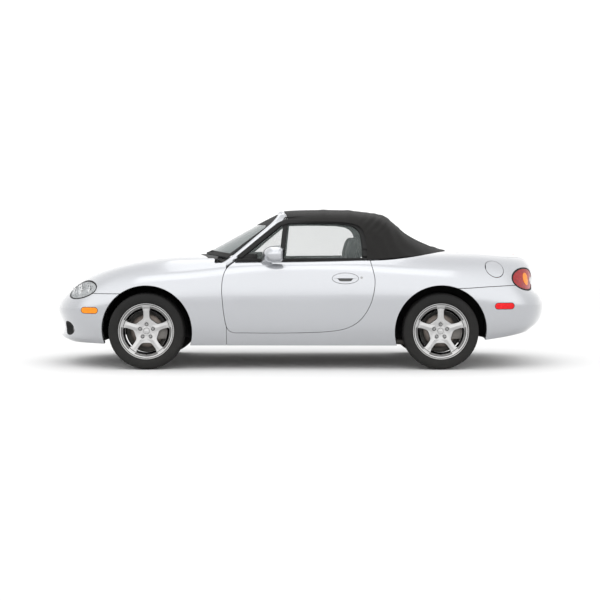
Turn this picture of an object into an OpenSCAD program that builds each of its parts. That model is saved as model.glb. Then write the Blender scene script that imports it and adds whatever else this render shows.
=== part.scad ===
// Two-seat convertible car with a cloth hood, at full size.
// X points forward, Y to the car's left and Z up. The origin is on the ground,
// midway between the bumper ends and between the doors. All lengths are millimetres.

/* [Running gear] */
// Distance between the axles
wheelbase = 2265; // [2240:5:2300]
// Front bumper's tip to the front axle
front_overhang = 790; // [780:5:800]
// Outer radius of the tyres
tyre_radius = 295; // [292:1:298]
// Width of the tyres
tyre_width = 203; // [195:1:208]
// Radius of the rim's outer flange
rim_radius = 218; // [210:1:222]
// Half of the front track
front_track_half = 708; // [700:1:712]
// Half of the rear track
rear_track_half = 718; // [712:1:724]
// Radius of the brake discs
disc_radius = 128; // [118:1:134]
// Steering axis, distance from the car's middle
kingpin_offset = 655; // [645:1:665]

/* [Body] */
// Radius of the front wheel openings
front_arch_radius = 356; // [350:1:362]
// Radius of the rear wheel openings
rear_arch_radius = 358; // [352:1:364]
// Thickness of the outer panels with their inner frames
panel_thickness = 28; // [24:1:32]
// Shut-line gap between panels
shut_gap = 6; // [5:0.5:8]
// Inner face of the doors, distance from the car's middle
door_inner_face = 722; // [712:1:730]
// Height of the seam between bumpers and wings
seam_height = 583; // [575:1:590]
// Thickness of the cloth hood with its bows
hood_thickness = 24; // [20:1:28]
// Thickness of the window glass
glass_thickness = 5; // [4:0.5:6]

/* [Cabin] */
// Seat centre, distance from the car's middle
seat_offset = 356; // [350:1:365]
// Width of each seat
seat_width = 446; // [436:2:446]
// Radius of the steering wheel
steering_wheel_radius = 182; // [175:1:190]
// Tilt of the steering column from level
column_tilt = 22; // [18:1:26]

/* [Hidden] */

body_length = 3945;
front_axle_x = body_length / 2 - front_overhang;
rear_axle_x = front_axle_x - wheelbase;
hub_height = tyre_radius;
eps = 0.01;
rows_per_span = 3;     // surface rows between two control rows
columns_per_span = 2;  // surface columns between two control columns

// ---- smooth surfaces from control nets -------------------------------------

function basis(f) = [
    pow(1 - f, 3) / 6,
    (3 * pow(f, 3) - 6 * f * f + 4) / 6,
    (-3 * pow(f, 3) + 3 * f * f + 3 * f + 1) / 6,
    pow(f, 3) / 6
];

function mirrored(p) = [p[0], -p[1], p[2]];
function mirrored_row(row) = [for (p = row) mirrored(p)];

// A row gets one more point at each end: it runs straight on at the open edge,
// and is reflected across the car's middle at the other
function pad_row(row) = let (n = len(row)) concat(
    [2 * row[0] - row[1]], row, [mirrored(row[n - 2])]);

function extended_row(a, b) = [for (j = [0:len(a) - 1]) 2 * a[j] - b[j]];

// closed_ends reflects the first and last rows across the middle as well
function pad_net(net, closed_ends) = let (n = len(net)) [
    for (row = concat(
        [closed_ends ? mirrored_row(net[1]) : extended_row(net[0], net[1])],
        net,
        [closed_ends ? mirrored_row(net[n - 2]) : extended_row(net[n - 1], net[n - 2])]))
    pad_row(row)
];

function blend4(points, i, w) =
    points[i] * w[0] + points[i + 1] * w[1] + points[i + 2] * w[2] + points[i + 3] * w[3];

function surface_row(padded, s) = let (
    i = min(floor(s), len(padded) - 4),
    w = basis(s - i),
    curve = [for (j = [0:len(padded[0]) - 1])
        padded[i][j] * w[0] + padded[i + 1][j] * w[1]
        + padded[i + 2][j] * w[2] + padded[i + 3][j] * w[3]],
    spans = len(curve) - 3
) [for (k = [0:spans * columns_per_span]) let (
        t = k / columns_per_span,
        j = min(floor(t), spans - 1))
    blend4(curve, j, basis(t - j))];

function surface_grid(net, closed_ends) = let (
    padded = pad_net(net, closed_ends),
    spans = len(net) - 1
) [for (k = [0:spans * rows_per_span]) surface_row(padded, k / rows_per_span)];

// The control net moved inwards by a distance, along its own normals
function net_normal(padded, i, j) = let (
    n = cross(padded[i + 1][j] - padded[i - 1][j], padded[i][j + 1] - padded[i][j - 1])
) norm(n) < 1 ? [0, 0, 1] : n / norm(n);

function offset_net(net, closed_ends, inset) = inset == 0 ? net : let (
    padded = pad_net(net, closed_ends)
) [for (i = [0:len(net) - 1]) [for (j = [0:len(net[0]) - 1])
    net[i][j] - inset * net_normal(padded, i + 1, j + 1)]];

// The middle column lies exactly on the car's middle plane
function on_middle(grid, closed_ends) = let (m = len(grid) - 1, n = len(grid[0]) - 1) [
    for (i = [0:m]) [for (j = [0:n])
        (j == n || (closed_ends && (i == 0 || i == m)))
        ? [grid[i][j][0], 0, grid[i][j][2]] : grid[i][j]]];

function quad(a, b, c, d) = [[a, b, c], [a, c, d]];
function flat_list(lists) = [for (l = lists) for (x = l) x];

// A closed solid under a left-hand surface and its mirror image. Its underside joins the
// two open edges; drop moves that underside down.
module mirrored_solid(net, closed_ends, drop = 0) {
    top = on_middle(surface_grid(net, closed_ends), closed_ends);
    m = len(top) - 1;
    n = len(top[0]) - 1;
    left = [for (row = top) concat([row[0] - [0, 0, drop]], row)];
    right = [for (row = left) mirrored_row(row)];
    width = n + 2;
    count = (m + 1) * width;
    function at(i, j) = i * width + j;
    skin = flat_list([for (i = [0:m - 1]) for (j = [0:n])
        quad(at(i, j), at(i, j + 1), at(i + 1, j + 1), at(i + 1, j))]);
    other_skin = [for (f = skin) [count + f[0], count + f[2], count + f[1]]];
    underside = flat_list([for (i = [0:m - 1])
        quad(at(i, 0), at(i + 1, 0), count + at(i + 1, 0), count + at(i, 0))]);
    ends = closed_ends ? [] : concat(
        flat_list([for (j = [0:n])
            quad(at(0, j), count + at(0, j), count + at(0, j + 1), at(0, j + 1))]),
        flat_list([for (j = [0:n])
            quad(at(m, j), at(m, j + 1), count + at(m, j + 1), count + at(m, j))]));
    polyhedron(concat(flat_list(left), flat_list(right)),
        concat(skin, other_skin, underside, ends));
}

// A smooth open curve through its points, given in two dimensions
function through(points, steps = 4) = let (
    n = len(points),
    p = concat([2 * points[0] - points[1]], points, [2 * points[n - 1] - points[n - 2]])
) concat([for (i = [1:n - 1]) for (k = [0:steps - 1]) let (f = k / steps)
    0.5 * (2 * p[i] + (p[i + 1] - p[i - 1]) * f
        + (2 * p[i - 1] - 5 * p[i] + 4 * p[i + 1] - p[i + 2]) * f * f
        + (3 * p[i] - p[i - 1] - 3 * p[i + 1] + p[i + 2]) * f * f * f)],
    [points[n - 1]]);

function reversed(list) = [for (i = [len(list) - 1:-1:0]) list[i]];
function flipped(points) = [for (p = points) [p[0], -p[1]]];

// Booleans of lofted surfaces stay one mesh
module one_mesh() { resize([0, 0, 0]) children(); }

module both_sides() {
    children();
    mirror([0, 1, 0]) children();
}

// A side-view outline, as a solid from a distance off the middle outwards
module side_prism(from = 0, to = 1100) {
    translate([0, to, 0]) rotate([90, 0, 0]) linear_extrude(to - from) children();
}

// A plan-view outline, as a solid between two heights
module plan_prism(low, high) {
    translate([0, 0, low]) linear_extrude(high - low) children();
}

// ---- the body's surface ------------------------------------------------------

// One row of the body's net. x, y is its point on the widest line, spine is where it
// ends on the middle, side lists inset and height from the sill up to the crest,
// and top the heights half-way in and on the middle.
function body_row(x, y, spine, side, top) = let (
    out = [x, y, 0],
    way = [spine - x, -y, 0],
    inward = way / norm(way),
    crest = out + side[len(side) - 1][0] * inward,
    middle = [spine, 0, 0]
) concat(
    [for (s = side) out + s[0] * inward + [0, 0, s[1]]],
    [(crest + middle) / 2 + [0, 0, top[0]], middle + [0, 0, top[1]]]);

body_net = [
    body_row(1991, 0, 1240,
        [[90, 190], [4, 224], [50, 262], [44, 334], [-4, 418], [12, 505], [82, 578], [188, 655], [360, 722]],
        [786, 838]),
    body_row(1954, 290, 1210,
        [[90, 190], [4, 224], [50, 262], [44, 334], [-4, 418], [12, 505], [80, 578], [184, 655], [352, 724]],
        [792, 842]),
    body_row(1870, 520, 1160,
        [[88, 192], [26, 228], [46, 268], [36, 334], [-2, 422], [12, 510], [66, 588], [154, 668], [294, 734]],
        [803, 850]),
    body_row(1715, 690, 1110,
        [[84, 194], [56, 230], [42, 276], [22, 340], [0, 438], [8, 525], [44, 608], [112, 692], [230, 766]],
        [820, 857]),
    body_row(1460, 785, 1050,
        [[72, 190], [50, 235], [35, 282], [20, 330], [0, 452], [2, 560], [18, 660], [72, 755], [200, 816]],
        [844, 864]),
    body_row(1183, 822, 980,
        [[64, 185], [46, 232], [32, 281], [18, 330], [0, 465], [0, 575], [10, 685], [62, 795], [192, 856]],
        [862, 872]),
    body_row(850, 826, 860,
        [[62, 185], [46, 232], [32, 281], [18, 330], [0, 465], [0, 575], [8, 690], [56, 808], [180, 876]],
        [880, 884]),
    body_row(550, 822, 550,
        [[62, 185], [46, 232], [33, 281], [20, 330], [2, 460], [0, 575], [8, 692], [28, 792], [74, 862]],
        [874, 884]),
    body_row(0, 828, 0,
        [[62, 185], [46, 232], [33, 281], [20, 330], [2, 460], [0, 575], [8, 692], [22, 790], [56, 862]],
        [850, 850]),
    body_row(-560, 840, -560,
        [[64, 185], [48, 232], [34, 281], [20, 330], [2, 465], [0, 585], [8, 705], [26, 800], [66, 872]],
        [856, 856]),
    body_row(-1083, 848, -1083,
        [[66, 185], [50, 234], [35, 284], [20, 335], [0, 475], [0, 600], [12, 720], [58, 836], [190, 906]],
        [916, 918]),
    body_row(-1440, 822, -1380,
        [[72, 225], [45, 270], [30, 316], [15, 362], [0, 485], [4, 600], [22, 712], [70, 824], [185, 890]],
        [902, 906]),
    body_row(-1690, 748, -1460,
        [[78, 256], [40, 302], [25, 351], [10, 400], [0, 500], [14, 592], [52, 690], [102, 795], [190, 872]],
        [893, 901]),
    body_row(-1872, 590, -1520,
        [[104, 284], [42, 324], [20, 368], [2, 414], [-4, 502], [22, 580], [98, 614], [88, 750], [166, 872]],
        [885, 896]),
    body_row(-1954, 330, -1560,
        [[130, 294], [48, 332], [16, 372], [-2, 416], [-6, 502], [30, 574], [124, 608], [96, 742], [176, 874]],
        [881, 892]),
    body_row(-1990, 0, -1600,
        [[130, 294], [48, 334], [18, 374], [4, 418], [2, 502], [32, 574], [128, 606], [104, 740], [186, 878]],
        [881, 889])
];

module body_solid(inset = 0) {
    mirrored_solid(offset_net(body_net, true, inset), true, inset == 0 ? 0 : 60);
}

module body_shell(thickness = panel_thickness) {
    difference() {
        body_solid();
        body_solid(thickness);
    }
}

// ---- panel outlines ------------------------------------------------------------

// Door, side view
door_front_edge = through([[482, 842], [556, 783], [587, 715], [597, 622], [592, 533],
    [582, 435], [566, 345], [545, 303], [510, 286]]);
door_lower_edge = through([[510, 286], [214, 284], [-66, 288], [-234, 298], [-347, 319],
    [-431, 360], [-487, 417], [-534, 498], [-561, 587], [-571, 676], [-561, 748],
    [-545, 806], [-534, 852]]);
module door_outline() { polygon(concat(door_front_edge, door_lower_edge)); }

// Bonnet, plan view
bonnet_edge = through([[1934, 0], [1926, 150], [1896, 280], [1842, 385], [1762, 458]]);
bonnet_side = through([[1762, 458], [1625, 510], [1410, 562], [1188, 600], [900, 640], [712, 660]]);
bonnet_rear = through([[712, 660], [748, 500], [786, 300], [802, 150], [806, 0]]);
bonnet_half = concat(bonnet_edge, bonnet_side, bonnet_rear);
module bonnet_outline() { polygon(concat(bonnet_half, reversed(flipped(bonnet_half)))); }

// The bonnet's edges lean forward, the way its front moves as it starts to lift
bonnet_lean = 0.24;
module bonnet_prism(grow) {
    multmatrix([[1, 0, bonnet_lean, -bonnet_lean * 870], [0, 1, 0, 0], [0, 0, 1, 0]])
        plan_prism(480, 1000) offset(delta = grow) bonnet_outline();
}

// Boot lid, plan view; it also runs down the tail to its lower edge
boot_front_x = -1236;
boot_lower_edge = 652;
boot_half = concat([[boot_front_x, 0], [boot_front_x, 500]],
    through([[-1252, 572], [-1330, 600], [-1480, 594], [-1590, 556], [-1670, 494],
        [-1738, 432], [-1810, 390], [-1870, 374]]), [[-2100, 374], [-2100, 0]]);
module boot_outline() { polygon(concat(boot_half, reversed(flipped(boot_half)))); }

// Foot of the cloth hood, plan view
hood_foot = through([[-530, 776], [-700, 762], [-850, 726], [-960, 668], [-1042, 588],
    [-1092, 505], [-1140, 400], [-1172, 270], [-1192, 130], [-1198, 0]]);
module hood_foot_outline() {
    polygon(concat([[600, 0], [600, 776]], hood_foot, reversed(flipped(hood_foot)),
        [[600, -776]]));
}

// The seams above the bumpers, side view
module front_seam_area() { translate([1175, 0]) square([900, seam_height]); }
rear_seam = [[-1083, 622], [-1300, 628], [-1450, 638], [-1640, 646], [-2100, 646]];
module rear_seam_area() {
    polygon(concat([[-2100, 100], [-1083, 100]], rear_seam));
}

// Headlamps and tail lamps are cut along slanting oval cylinders
module lamp_cylinder(centre, yaw, roll, half_width, half_height, grow = 0) {
    translate(centre) rotate([0, 0, yaw]) rotate([roll, 0, 0]) rotate([0, 90, 0])
        linear_extrude(400, center = true)
            scale([half_height + grow, half_width + grow]) circle(r = 1, $fn = 40);
}
module headlamp_cylinder(grow = 0) {
    lamp_cylinder([1703, 585, 608], 45, 4.5, 175, 70, grow);
}
module tail_lamp_cylinder(grow = 0) {
    lamp_cylinder([-1750, 560, 692], 140, 2.8, 173, 87, grow);
}

module wheel_cut(x, radius) {
    translate([x, 1100, hub_height]) rotate([90, 0, 0]) cylinder(r = radius, h = 700, $fn = 72);
}

module fuel_flap_area(grow = 0) {
    translate([-1500, 742, 790]) rotate([-52, 0, 0])
        cylinder(r = 74 + grow, h = 200, center = true, $fn = 40);
}

// ---- outer panels ------------------------------------------------------------------

module left_front_wing() {
    color("silver") one_mesh() difference() {
        intersection() {
            body_shell();
            translate([575, 100, 150]) cube([1185, 800, 800]);
        }
        side_prism() offset(delta = shut_gap, $fn = 12) door_outline();
        translate([0, 0, shut_gap / 2]) side_prism() front_seam_area();
        bonnet_prism(shut_gap / 2);
        wheel_cut(front_axle_x, front_arch_radius);
        headlamp_cylinder(3);
        plan_prism(500, 1000) scuttle_outline(3);
        translate([430, 0, 822]) cube([230, 760, 120]);
    }
}

module front_bumper() {
    color("silver") one_mesh() difference() {
        intersection() {
            body_shell();
            translate([1000, -900, 150]) cube([1100, 1800, 600]);
        }
        both_sides() side_prism() polygon([[900, 100], [1175, 100], [1175, seam_height],
            [900, seam_height]]);
        both_sides() translate([0, 0, seam_height - shut_gap / 2]) plan_prism(0, 400)
            polygon([[900, 100], [1763, 100], [1763, 900], [900, 900]]);
        bonnet_prism(shut_gap / 2);
        both_sides() wheel_cut(front_axle_x, front_arch_radius);
        both_sides() headlamp_cylinder(3);
        mouth_opening();
        both_sides() fog_recess();
    }
}

module mouth_opening() {
    translate([1700, 0, 298]) rotate([0, 90, 0]) linear_extrude(400)
        scale([58, 330]) circle(r = 1, $fn = 40);
}

module fog_recess() {
    translate([1716, 434, 302]) rotate([0, 90, 28]) scale([55, 88, 1])
        cylinder(r = 1, h = 300, $fn = 36);
}

module rear_bumper() {
    color("silver") one_mesh() difference() {
        intersection() {
            body_shell();
            translate([-2100, -900, 150]) cube([1017, 1800, 498]);
            union() { both_sides() side_prism(-1) rear_seam_area(); }
        }
        both_sides() wheel_cut(rear_axle_x, rear_arch_radius);
        both_sides() tail_lamp_cylinder(3);
    }
}

module rear_quarter() {
    difference() {
        union() {
            intersection() {
                body_shell();
                translate([-2000, -1, 150]) cube([2570, 901, 800]);
            }
            intersection() {
                body_solid();
                translate([-700, 690, 180]) cube([1260, 200, 160]);
            }
        }
        side_prism(600) offset(delta = shut_gap, $fn = 12) door_outline();
        translate([-560, -2, 150]) cube([1200, 690, 800]);
        translate([-560, -2, 700]) cube([1200, 900, 300]);
        plan_prism(700, 1000) offset(delta = 3) hood_foot_outline();
        translate([0, 0, shut_gap / 2]) side_prism(-2) rear_seam_area();
        plan_prism(boot_lower_edge - shut_gap, 1000) offset(delta = shut_gap / 2) boot_outline();
        wheel_cut(rear_axle_x, rear_arch_radius);
        tail_lamp_cylinder(3);
        translate([560, -2, 100]) cube([200, 900, 900]);
    }
}

module rear_body() {
    color("silver") one_mesh() union() {
        difference() {
            rear_quarter();
            fuel_flap_area(3);
        }
        mirror([0, 1, 0]) rear_quarter();
    }
}

module fuel_flap() {
    color("silver") one_mesh() intersection() {
        body_shell(12);
        fuel_flap_area(0);
        translate([-1600, 600, 700]) cube([200, 300, 300]);
    }
}

module bonnet() {
    color("silver") one_mesh() intersection() {
        body_shell();
        bonnet_prism(-shut_gap / 2);
    }
}

module boot_lid() {
    color("silver") one_mesh() intersection() {
        body_shell();
        plan_prism(boot_lower_edge, 1000) offset(delta = -shut_gap / 2) boot_outline();
    }
}

door_step = 785;  // inboard of this the door is smaller all round, to clear its frame
module left_door() {
    color("silver") one_mesh() intersection() {
        body_solid();
        union() {
            side_prism(door_step) door_outline();
            side_prism(door_inner_face, door_step + 1) offset(delta = -10) door_outline();
        }
    }
}

module scuttle_outline(grow = 0) {
    offset(delta = grow) polygon(concat(
        bonnet_rear,
        reversed(flipped(bonnet_rear)),
        [[640, -700], [640, 700]]));
}

module scuttle_panel() {
    color("dimgray") one_mesh() difference() {
        intersection() {
            body_shell(20);
            plan_prism(500, 1000) scuttle_outline();
        }
        translate([-8, 0, 6]) windscreen_solid(0);
        bonnet_prism(shut_gap / 2);
    }
}

// ---- cloth hood and glass ---------------------------------------------------------

// Rows run from the header rail back to the foot on the deck; columns from the
// belt line up over the cant rail to the middle
soft_top_net = [
    [[136, 766, 842], [136, 705, 960], [132, 640, 1070], [126, 576, 1150],
        [128, 480, 1202], [132, 240, 1228], [134, 0, 1234]],
    [[40, 766, 843], [40, 706, 965], [40, 642, 1080], [40, 590, 1160],
        [40, 490, 1213], [40, 240, 1237], [40, 0, 1242]],
    [[-180, 770, 845], [-180, 710, 965], [-180, 648, 1085], [-180, 598, 1165],
        [-180, 500, 1218], [-180, 240, 1240], [-180, 0, 1245]],
    [[-400, 772, 848], [-400, 714, 965], [-400, 654, 1085], [-400, 602, 1165],
        [-400, 500, 1216], [-400, 240, 1238], [-400, 0, 1243]],
    [[-560, 772, 850], [-560, 716, 965], [-560, 656, 1080], [-560, 600, 1158],
        [-560, 495, 1203], [-560, 240, 1222], [-560, 0, 1226]],
    [[-700, 756, 858], [-696, 702, 955], [-692, 645, 1055], [-692, 590, 1128],
        [-690, 485, 1178], [-690, 240, 1202], [-690, 0, 1206]],
    [[-846, 718, 870], [-822, 668, 936], [-800, 612, 997], [-788, 550, 1046],
        [-778, 445, 1080], [-772, 230, 1103], [-770, 0, 1110]],
    [[-958, 660, 882], [-950, 610, 914], [-944, 552, 946], [-940, 485, 972],
        [-940, 385, 993], [-942, 200, 1006], [-944, 0, 1010]],
    [[-1040, 580, 893], [-1058, 530, 904], [-1070, 470, 914], [-1080, 400, 922],
        [-1090, 300, 927], [-1098, 160, 930], [-1100, 0, 931]],
    [[-1086, 500, 899], [-1115, 430, 903], [-1138, 350, 907], [-1158, 262, 910],
        [-1174, 172, 913], [-1184, 84, 915], [-1188, 0, 916]]
];

module soft_top_solid(inset = 0) {
    mirrored_solid(offset_net(soft_top_net, false, inset), false, inset == 0 ? 0 : 40);
}

// The opening above the door, side view
window_opening = concat([[300, 700], [300, 1134], [40, 1138]],
    through([[-120, 1140], [-300, 1137], [-420, 1122], [-482, 1082], [-508, 1010], [-516, 920],
        [-514, 700]]));

rear_window_half = through([[-772, 0], [-775, 200], [-784, 360], [-812, 424], [-870, 438],
    [-980, 400], [-1048, 350], [-1078, 270], [-1088, 140], [-1090, 0]]);
module rear_window_outline() {
    polygon(concat(rear_window_half, reversed(flipped(rear_window_half))));
}

module soft_top() {
    color("dimgray") one_mesh() difference() {
        soft_top_solid();
        intersection() {
            soft_top_solid(hood_thickness);
            translate([-1250, -900, 700]) cube([1500, 1800, 600]);
        }
        translate([100, -900, 700]) cube([200, 1800, 600]);
        both_sides() side_prism(300) polygon(window_opening);
        plan_prism(800, 1300) rear_window_outline();
    }
}

module rear_window() {
    color("lightblue") one_mesh() intersection() {
        difference() {
            soft_top_solid(8);
            soft_top_solid(8 + glass_thickness);
        }
        plan_prism(800, 1300) offset(delta = -1) rear_window_outline();
    }
}

// Rows run from the foot of the windscreen to the header; columns from the pillar in
windscreen_net = [
    [[556, 700, 862], [640, 560, 872], [708, 380, 882], [756, 190, 888], [774, 0, 890]],
    [[448, 652, 950], [508, 520, 962], [560, 355, 973], [592, 180, 980], [604, 0, 984]],
    [[332, 606, 1040], [375, 480, 1052], [410, 330, 1064], [432, 170, 1071], [440, 0, 1075]],
    [[222, 566, 1126], [246, 445, 1138], [268, 305, 1148], [280, 158, 1155], [284, 0, 1158]],
    [[156, 545, 1178], [168, 425, 1188], [178, 290, 1196], [184, 150, 1202], [186, 0, 1205]]
];

module windscreen_solid(inset) {
    mirrored_solid(offset_net(windscreen_net, false, inset), false, 0);
}

module windscreen() {
    color("lightblue") one_mesh() difference() {
        mirrored_solid(windscreen_net, false, 0);
        translate([-6, 0, -6]) mirrored_solid(windscreen_net, false, 60);
        translate([100, -800, 700]) cube([500, 1600, 100]);
    }
}

module rod(a, b, r, facets = 16) {
    way = b - a;
    length = norm(way);
    translate(a) rotate([0, acos(way[2] / length), atan2(way[1], way[0])])
        cylinder(r = r, h = length, $fn = facets);
}

pillar_foot = [522, 716, 838];
pillar_head = [128, 560, 1172];
header_points = [pillar_head, [140, 430, 1190], [150, 220, 1203], [152, 0, 1207]];

module windscreen_frame() {
    color("silver") one_mesh() union() {
        both_sides() {
            hull() {
                translate(pillar_foot) scale([1.5, 1, 0.6]) sphere(r = 24, $fn = 12);
                translate(pillar_head) scale([1.3, 0.9, 0.8]) sphere(r = 22, $fn = 12);
            }
            for (i = [0:2]) hull() {
                translate(header_points[i]) sphere(r = 19, $fn = 12);
                translate(header_points[i + 1]) sphere(r = 19, $fn = 12);
            }
        }
    }
}

// Door glass stands on the belt line and leans in to the hood's cant rail
glass_lean = 30;
glass_foot = [0, 752, 838];
glass_outline = concat([[443, 18], [118, 326]],
    through([[-100, 332], [-290, 328], [-400, 312], [-462, 268], [-490, 190], [-498, 90], [-500, 18]]));
module left_door_glass() {
    color("lightblue") translate(glass_foot) rotate([glass_lean, 0, 0])
        rotate([90, 0, 0]) linear_extrude(glass_thickness, center = true) polygon(glass_outline);
}

module left_mirror() {
    color("silver") one_mesh() union() {
        hull() {
            translate([206, 862, 888]) scale([1.08, 1.15, 0.84]) sphere(r = 68, $fn = 20);
            translate([176, 905, 888]) scale([0.7, 0.8, 0.74]) sphere(r = 68, $fn = 20);
        }
        hull() {
            translate([226, 814, 856]) scale([1, 0.8, 0.7]) sphere(r = 40, $fn = 16);
            translate([258, 781, 842]) scale([1.2, 0.3, 0.6]) sphere(r = 40, $fn = 16);
        }
    }
}

// ---- lamps ----------------------------------------------------------------------------

module headlamps() {
    color("whitesmoke") one_mesh() both_sides() intersection() {
        difference() {
            body_solid(1);
            body_solid(46);
            bonnet_prism(shut_gap / 2);
        }
        headlamp_cylinder();
        translate([1500, 300, 400]) cube([500, 500, 400]);
    }
}

module tail_lamps() {
    color("firebrick") one_mesh() both_sides() intersection() {
        difference() {
            body_solid(1);
            body_solid(46);
        }
        tail_lamp_cylinder();
        translate([-2000, 300, 500]) cube([500, 600, 400]);
    }
}

// ---- structure ------------------------------------------------------------------------

floor_top = 200;
module box(from, to) { translate(from) cube(to - from); }

module arch_liner(x, radius, from, to, thickness = 8) {
    translate([x, to, hub_height]) rotate([90, 0, 0]) difference() {
        cylinder(r = radius + thickness, h = to - from, $fn = 64);
        translate([0, 0, -eps]) cylinder(r = radius, h = to - from - thickness, $fn = 64);
        translate([-500, -500, -eps]) cube([1000, 500 - 20, 500]);
    }
}

module underbody() {
    color("dimgray") union() {
        box([-640, -686, 185], [600, 686, floor_top]);
        box([598, -445, 185], [615, 445, 815]);
        box([-655, -686, 185], [-640, 686, 800]);
        both_sides() {
            box([-640, 600, 190], [600, 686, 330]);
            box([614, 433, 330], [1700, 443, 415]);
            box([598, 440, 300], [615, 690, 790]);
            box([612, 680, 325], [680, 750, 740]);
            box([-655, 680, 345], [-592, 755, 780]);
            box([-1780, 470, 330], [-650, 520, 405]);
            difference() {
                arch_liner(front_axle_x, front_arch_radius + 6, 436, 655);
                box([1120, 420, 405], [1245, 460, 470]);
            }
            difference() {
                arch_liner(rear_axle_x, rear_arch_radius + 6, 515, 725);
                translate([rear_axle_x, 560, hub_height]) rotate([90, 0, 0]) cylinder(r = 28, h = 80);
            }
        }
        difference() {
            box([-655, -130, 190], [600, 130, 400]);
            box([-660, -115, 180], [620, 115, 385]);
        }
        box([-1790, -520, 400], [-650, 520, boot_floor]);
        box([1680, -443, 330], [1700, 443, 415]);
        box([-1790, -520, 330], [-1765, 520, boot_floor]);
    }
}

boot_floor = 412;

// The engine stands as one plain block
module engine() {
    color("gray") box([720, -170, 290], [1240, 170, 740]);
}

module radiator() {
    color("#222222") box([1620, -340, 240], [1662, 340, 560]);
}

pipe_radius = 24;
module exhaust() {
    color("darkgray") one_mesh() union() {
        translate([-1560, 280, 285]) rotate([90, 0, 0]) cylinder(r = 82, h = 560, $fn = 40);
        rod([-1600, -240, 258], [-1900, -300, 245], pipe_radius + 3, 32);
        rod([-1540, 150, 262], [-1250, 60, 160], pipe_radius, 20);
        rod([-1255, 60, 160], [640, -60, 158], pipe_radius + 1, 20);
        rod([634, -60, 156], [700, -215, 345], pipe_radius, 20);
        box([690, -245, 300], [1100, -175, 420]);
    }
}

spindle_radius = 20;
pivot_radius = 12;
running_clearance = 0.05;
knuckle_low = 216;   // underside of the knuckle's post
knuckle_high = 420;  // top of the knuckle's post
spindle_end = 724;   // the stub axle's outer end, inside the disc's hub

module front_suspension() {
    color("dimgray") union() {
        box([1060, -330, 205], [1140, 330, 260]);
        box([1225, -330, 205], [1305, 330, 260]);
        both_sides() {
            box([1060, 290, 205], [1305, 350, 290]);
            rod([1085, 340, 232], [front_axle_x, kingpin_offset, 190], 17, 24);
            rod([1280, 340, 232], [front_axle_x, kingpin_offset, 190], 17, 24);
            translate([front_axle_x, kingpin_offset, 186]) cylinder(r = 30, h = knuckle_low - 187);
            translate([front_axle_x, kingpin_offset, 190]) cylinder(r = pivot_radius, h = 56);
            box([1130, 330, 290], [1235, 350, 450]);
            rod([1145, 345, 435], [front_axle_x, kingpin_offset, 440], 13, 24);
            rod([1220, 345, 435], [front_axle_x, kingpin_offset, 440], 13, 24);
            translate([front_axle_x, kingpin_offset, knuckle_high + 1]) cylinder(r = 26, h = 32);
            translate([front_axle_x, kingpin_offset, 390]) cylinder(r = pivot_radius, h = 50);
        }
    }
}

module rear_suspension() {
    color("dimgray") union() {
        box([-1180, -340, 215], [-1120, 340, 270]);
        box([-1045, -340, 215], [-985, 340, 270]);
        box([-1180, -110, 215], [-985, 110, 385]);
        both_sides() {
            box([-1180, 300, 215], [-985, 350, 270]);
            rod([-1150, 340, 240], [-1100, 645, 205], 17, 24);
            rod([-1015, 340, 240], [-1065, 645, 205], 17, 24);
            rod([rear_axle_x, 100, 300], [rear_axle_x, 640, hub_height], 17, 32);
            box([rear_axle_x - 36, 625, 188], [rear_axle_x + 36, 668, 380]);
            translate([rear_axle_x, 668, hub_height]) rotate([90, 0, 0]) cylinder(r = 52, h = 40);
            translate([rear_axle_x, spindle_end + 10, hub_height]) rotate([90, 0, 0])
                cylinder(r = spindle_radius, h = 100);
            caliper(rear_axle_x, 662, 741, 699, 729);
        }
    }
}

// A block that reaches over the disc, behind or ahead of the axle; y values are its
// inner and outer faces and those of its slot
caliper_outer = 174;
module caliper(x, inner, outer, slot_inner, slot_outer) {
    difference() {
        intersection() {
            translate([x, outer, hub_height]) rotate([90, 0, 0])
                cylinder(r = caliper_outer, h = outer - inner);
            box([x - 180, inner, hub_height - 60], [x - 30, outer, hub_height + 60]);
        }
        translate([x, outer + 1, hub_height]) rotate([90, 0, 0]) cylinder(r = 94, h = outer - inner + 2);
        translate([x, slot_outer, hub_height]) rotate([90, 0, 0])
            cylinder(r = disc_radius + 7, h = slot_outer - slot_inner);
    }
}

// The knuckle carries the wheel and turns about the kingpin
module left_front_knuckle() {
    color("dimgray") difference() {
        union() {
            translate([front_axle_x, kingpin_offset, knuckle_low])
                cylinder(r = 28, h = knuckle_high - knuckle_low);
            translate([front_axle_x, 684, hub_height]) rotate([90, 0, 0]) cylinder(r = 52, h = 30);
            translate([front_axle_x, spindle_end, hub_height]) rotate([90, 0, 0])
                cylinder(r = spindle_radius, h = 50);
            caliper(front_axle_x, 652, 731, 689, 719);
            box([front_axle_x - 120, 652, hub_height - 40], [front_axle_x, 676, hub_height + 40]);
        }
        translate([front_axle_x, kingpin_offset, knuckle_low - 1])
            cylinder(r = pivot_radius + running_clearance, h = 40);
        translate([front_axle_x, kingpin_offset, knuckle_high - 39])
            cylinder(r = pivot_radius + running_clearance, h = 40);
    }
}

// ---- wheels, drawn at the origin with the outer face towards +Y ------------------------

module at_wheel(x, y) { translate([x, y, hub_height]) children(); }
module spin_profile() { rotate([-90, 0, 0]) rotate_extrude($fn = 96) children(); }

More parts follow.
